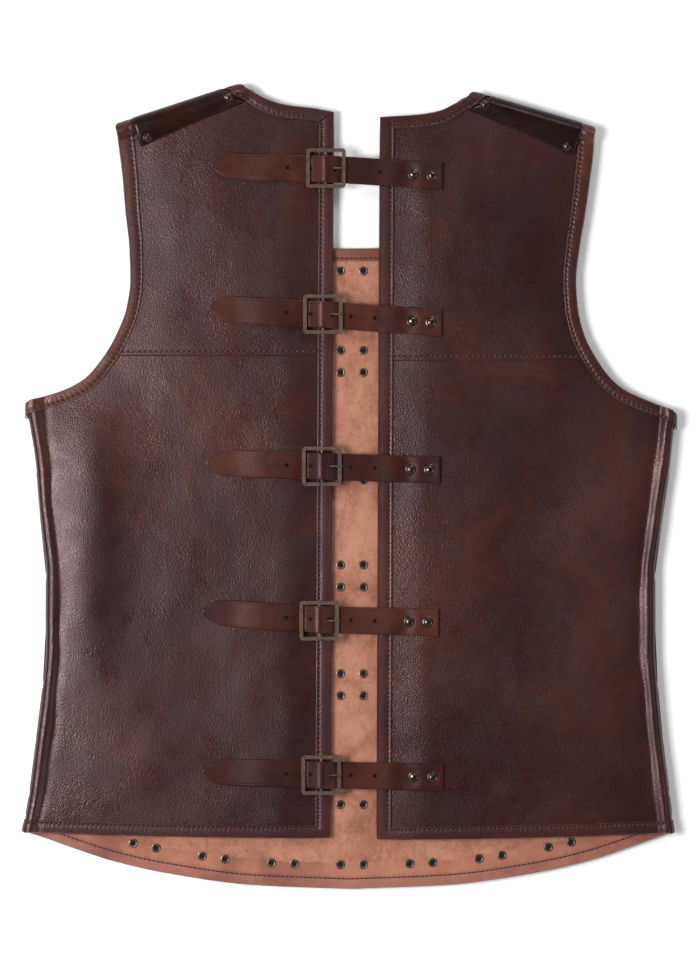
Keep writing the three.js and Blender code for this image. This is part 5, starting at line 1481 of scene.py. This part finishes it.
# the hollow of the tube rivet, within 2.35 mm, is painted shade
tubeMaster = turnedMaster("tubeMaster", 18, 4.0, tubeSteps, 2.35)
for number, row in enumerate(strapRows, 1):
    makeStrap(number, row)
    makeChape(number, row)
    at = Matrix.Translation(Vector((*row["buckle"], barLevel(row))) * millimetre)
    fitted(placedCopy(buckleMaster, "buckle_%d_brass" % number, "brass", at), "antique_brass", "buckle_%d" % number)
    fitted(placedCopy(prongMaster, "prong_%d_brass" % number, "brass", at), "antique_brass", "prong_%d" % number)
    height, middle = strapHeight(row), strapMiddle(row)
    heads = []
    for inset in strapRivets:
        x = row["end"][0] - inset
        slope = float(height(x + 4) - height(x - 4)) / 8
        normal = Vector((-slope, 0, 1)).normalized()
        place = standing((x, float(middle(x)), float(height(x))), normal, strapSize["thickness"] / 2 - 0.7)
        heads.append(placedCopy(rivetMaster, "head", "rivet", place))
    fitted(joinedMesh("strapRivets_%d" % number, heads), "antique_brass",
           "strap_%d_rivet_inner" % number, "strap_%d_rivet_outer" % number)
print("straps ready")

for half in halves:
    neckPlace = guardSize["neckRivet"], half.guard["neckDepth"] * guardSize["neckRivetShare"]
    armPlace = half.guard["armEnd"] - guardSize["armRivet"], half.guard["armDepth"] - guardSize["armRivetEdge"]
    heads = []
    for along, inset in (neckPlace, armPlace):
        plan = np.array([half.sign * (half.peakOut + half.along[0] * along - half.upward[0] * inset),
                         half.peakY + half.along[1] * along - half.upward[1] * inset])
        tops, normals = guardTops[half.name]
        nearest = int(np.argmin(((tops[:, :2] - plan) ** 2).sum(axis=1)))
        normal = normals[nearest]
        away = plan - tops[nearest, :2]
        point = (*plan, tops[nearest, 2] - float(away @ normal[:2]) / normal[2])
        place = standing(point, normal, -0.1) @ Matrix.Diagonal((0.76, 0.76, 0.85, 1))
        heads.append(placedCopy(rivetMaster, "head", "rivet", place))
    fitted(joinedMesh("guardRivets_" + half.name, heads), "antique_brass",
           "guard_rivet_neck_" + half.name, "guard_rivet_arm_" + half.name)


facing = {"hemFrom": 9.2, "hemTo": 22.0, "thickness": 0.7, "torn": [(0.9, 19, 1), (0.6, 6.1, 2), (0.35, 2.6, 0.4)]}


def makeFacing(name, lineX, lineY, inwardTo):
    # a thin strip inside the front, glued along a line and torn along its free edge
    inner = frontMiddle + halfLeather + 0.05
    rings = []
    torn = sum(size * np.sin(lineX / stretch + start) for size, stretch, start in facing["torn"])
    near, thick = facing["hemFrom"], facing["thickness"]
    for depth, rise in ((near, 0), (near, thick), (inwardTo - 0.8, thick), (inwardTo, thick * 0.4), (inwardTo, 0)):
        loose = torn if depth > near else 0
        rings.append(np.stack([lineX, lineY + depth + loose, np.full(lineX.shape, inner + rise)], axis=1))
    made = sweep(name, np.stack(rings, axis=1), "facing", 50)
    fitted(made, "suede_leather")
    length = lengthsAlong(np.stack([lineX, lineY], axis=1))[-1]
    (abs(inwardTo) - facing["hemFrom"]) * millimetre


hemXs = np.linspace(-280, 278, 400)
makeFacing("hemFacing", hemXs, frontHem(np.abs(hemXs)), facing["hemTo"])

plates = {
    "rows": [203, 111.5, 14.5, -82, -180, -278, -352],
    "columns": [-247.3, -185, -122.7, -60.3, 2, 64.4, 126.8, 189.2, 251.6],
    "gap": 6.0, "margin": 15.0, "armMargin": 10.0, "thickness": 3.0, "rounding": 0.8,
    "rivetIn": 7.3, "sideRivetIn": 14, "rivetBelow": 10.4,
}


def plateLimits(x):
    # how high and how low a plate may reach at x
    half = leftHalf if x < body["garmentCentre"] else rightHalf
    out = abs(x)
    chest = float(frontArmOut(half, chestY)) - plates["margin"]
    top = 400.0
    if out > chest - 6:
        top = float(frontArmY(half, min(max(out, 207), half.tipOut))) - plates["margin"]
    return top, float(frontHem(out)) + plates["margin"] - 1


def plateOutlines(top, bottom):
    wide = top < 100
    inner = plates["columns"] if wide else plates["columns"][1:-1]
    middle = (top + bottom) / 2
    edges = [-float(leftHalf.side(middle)), *inner, float(rightHalf.side(middle))] if wide else list(inner)
    if not wide:
        limits = [min(float(frontArmOut(half, y)) for y in (150, 185, 214)) - plates["armMargin"] for half in halves]
        edges[0], edges[-1] = max(edges[0], -limits[0]), min(edges[-1], limits[1])
    for i in range(len(edges) - 1):
        first, last = wide and i == 0, wide and i + 2 == len(edges)
        x0 = edges[i] + (0 if first else plates["gap"] / 2)
        x1 = edges[i + 1] - (0 if last else plates["gap"] / 2)
        high = [min(top - plates["gap"] / 2, plateLimits(x)[0]) for x in (x0, x1)]
        low = [max(bottom + plates["gap"] / 2, plateLimits(x)[1]) for x in (x0, x1)]
        corners = [(x0, low[0]), (x1, low[1]), (x1, high[1]), (x0, high[0])]
        if first:
            ys = [low[0], (low[0] + high[0]) / 2, high[0]]
            sides = [(-float(leftHalf.side(y)), y) for y in ys]
            corners = [sides[0], corners[1], corners[2], sides[2], sides[1]]
        if last:
            ys = [low[1], (low[1] + high[1]) / 2, high[1]]
            sides = [(float(rightHalf.side(y)), y) for y in ys]
            corners = [corners[0], sides[0], sides[1], sides[2], corners[3]]
        yield corners, first, last


def makePlates():
    backs = []
    for number in range(6):
        top, bottom = plates["rows"][number], plates["rows"][number + 1]
        parts = []
        for corners, first, last in plateOutlines(top, bottom):
            count = len(corners)
            vertices = [(x, y, z) for z in (0.9, plates["thickness"]) for x, y in corners]
            faces = [tuple(reversed(range(count))), tuple(range(count, 2 * count))]
            faces += [(i, (i + 1) % count, count + (i + 1) % count, count + i) for i in range(count)]
            plate = newObject("plate", vertices, faces, ["plate"])
            rounded(plate, plates["rounding"], 2)
            parts.append(plate)
            xs = [c[0] for c in corners]
            low, high = min(xs), max(xs)
            middleX = (low + high) / 2
            sides = [low + plates["sideRivetIn" if first else "rivetIn"],
                     high - plates["sideRivetIn" if last else "rivetIn"]]
            for x in sides:
                atSide = first and x < middleX or last and x > middleX
                limits = plateLimits(x)
                upper = min(top - plates["rivetBelow"] + 0.9, limits[0] - 7)
                lower = max(bottom + plates["rivetBelow"], float(frontHem(abs(x))) + 19.5)
                for y in (upper, lower) if upper - lower > 20 else (lower,):
                    half = leftHalf if x < 0 else rightHalf
                    at = half.sign * min(abs(x), float(half.side(y)) - plates["sideRivetIn"]) if atSide else x
                    backs.append((at, y))
                    place = Matrix.Translation((at * millimetre, y * millimetre, 0.0009))
                    downward = Matrix.Rotation(math.pi, 4, "X") @ Matrix.Diagonal((1, 1, 1.1, 1))
                    parts.append(placedCopy(tubeMaster, "cap", "rivet", place @ downward))
        made = joinedMesh("plates_%d" % (number + 1), parts)
        smooth(made, 40)
        fitted(made, "plate_leather", "plate_row_%d" % (number + 1))
    rings = []
    for x, y in backs:
        if abs(x) < 250:
            onFacing = 0.75 if y < float(frontHem(abs(x))) + facing["hemTo"] else 0
            level = frontMiddle + halfLeather - 0.05 + onFacing
            place = Matrix.Translation(Vector((x, y, level)) * millimetre)
            rings.append(placedCopy(tubeMaster, "ring", "tube", place))
    fitted(joinedMesh("rivetBacks", rings), "antique_brass")


makePlates()
for master in (buckleMaster, prongMaster, rivetMaster, tubeMaster):
    bpy.data.objects.remove(master, do_unlink=True)
print("plates ready")
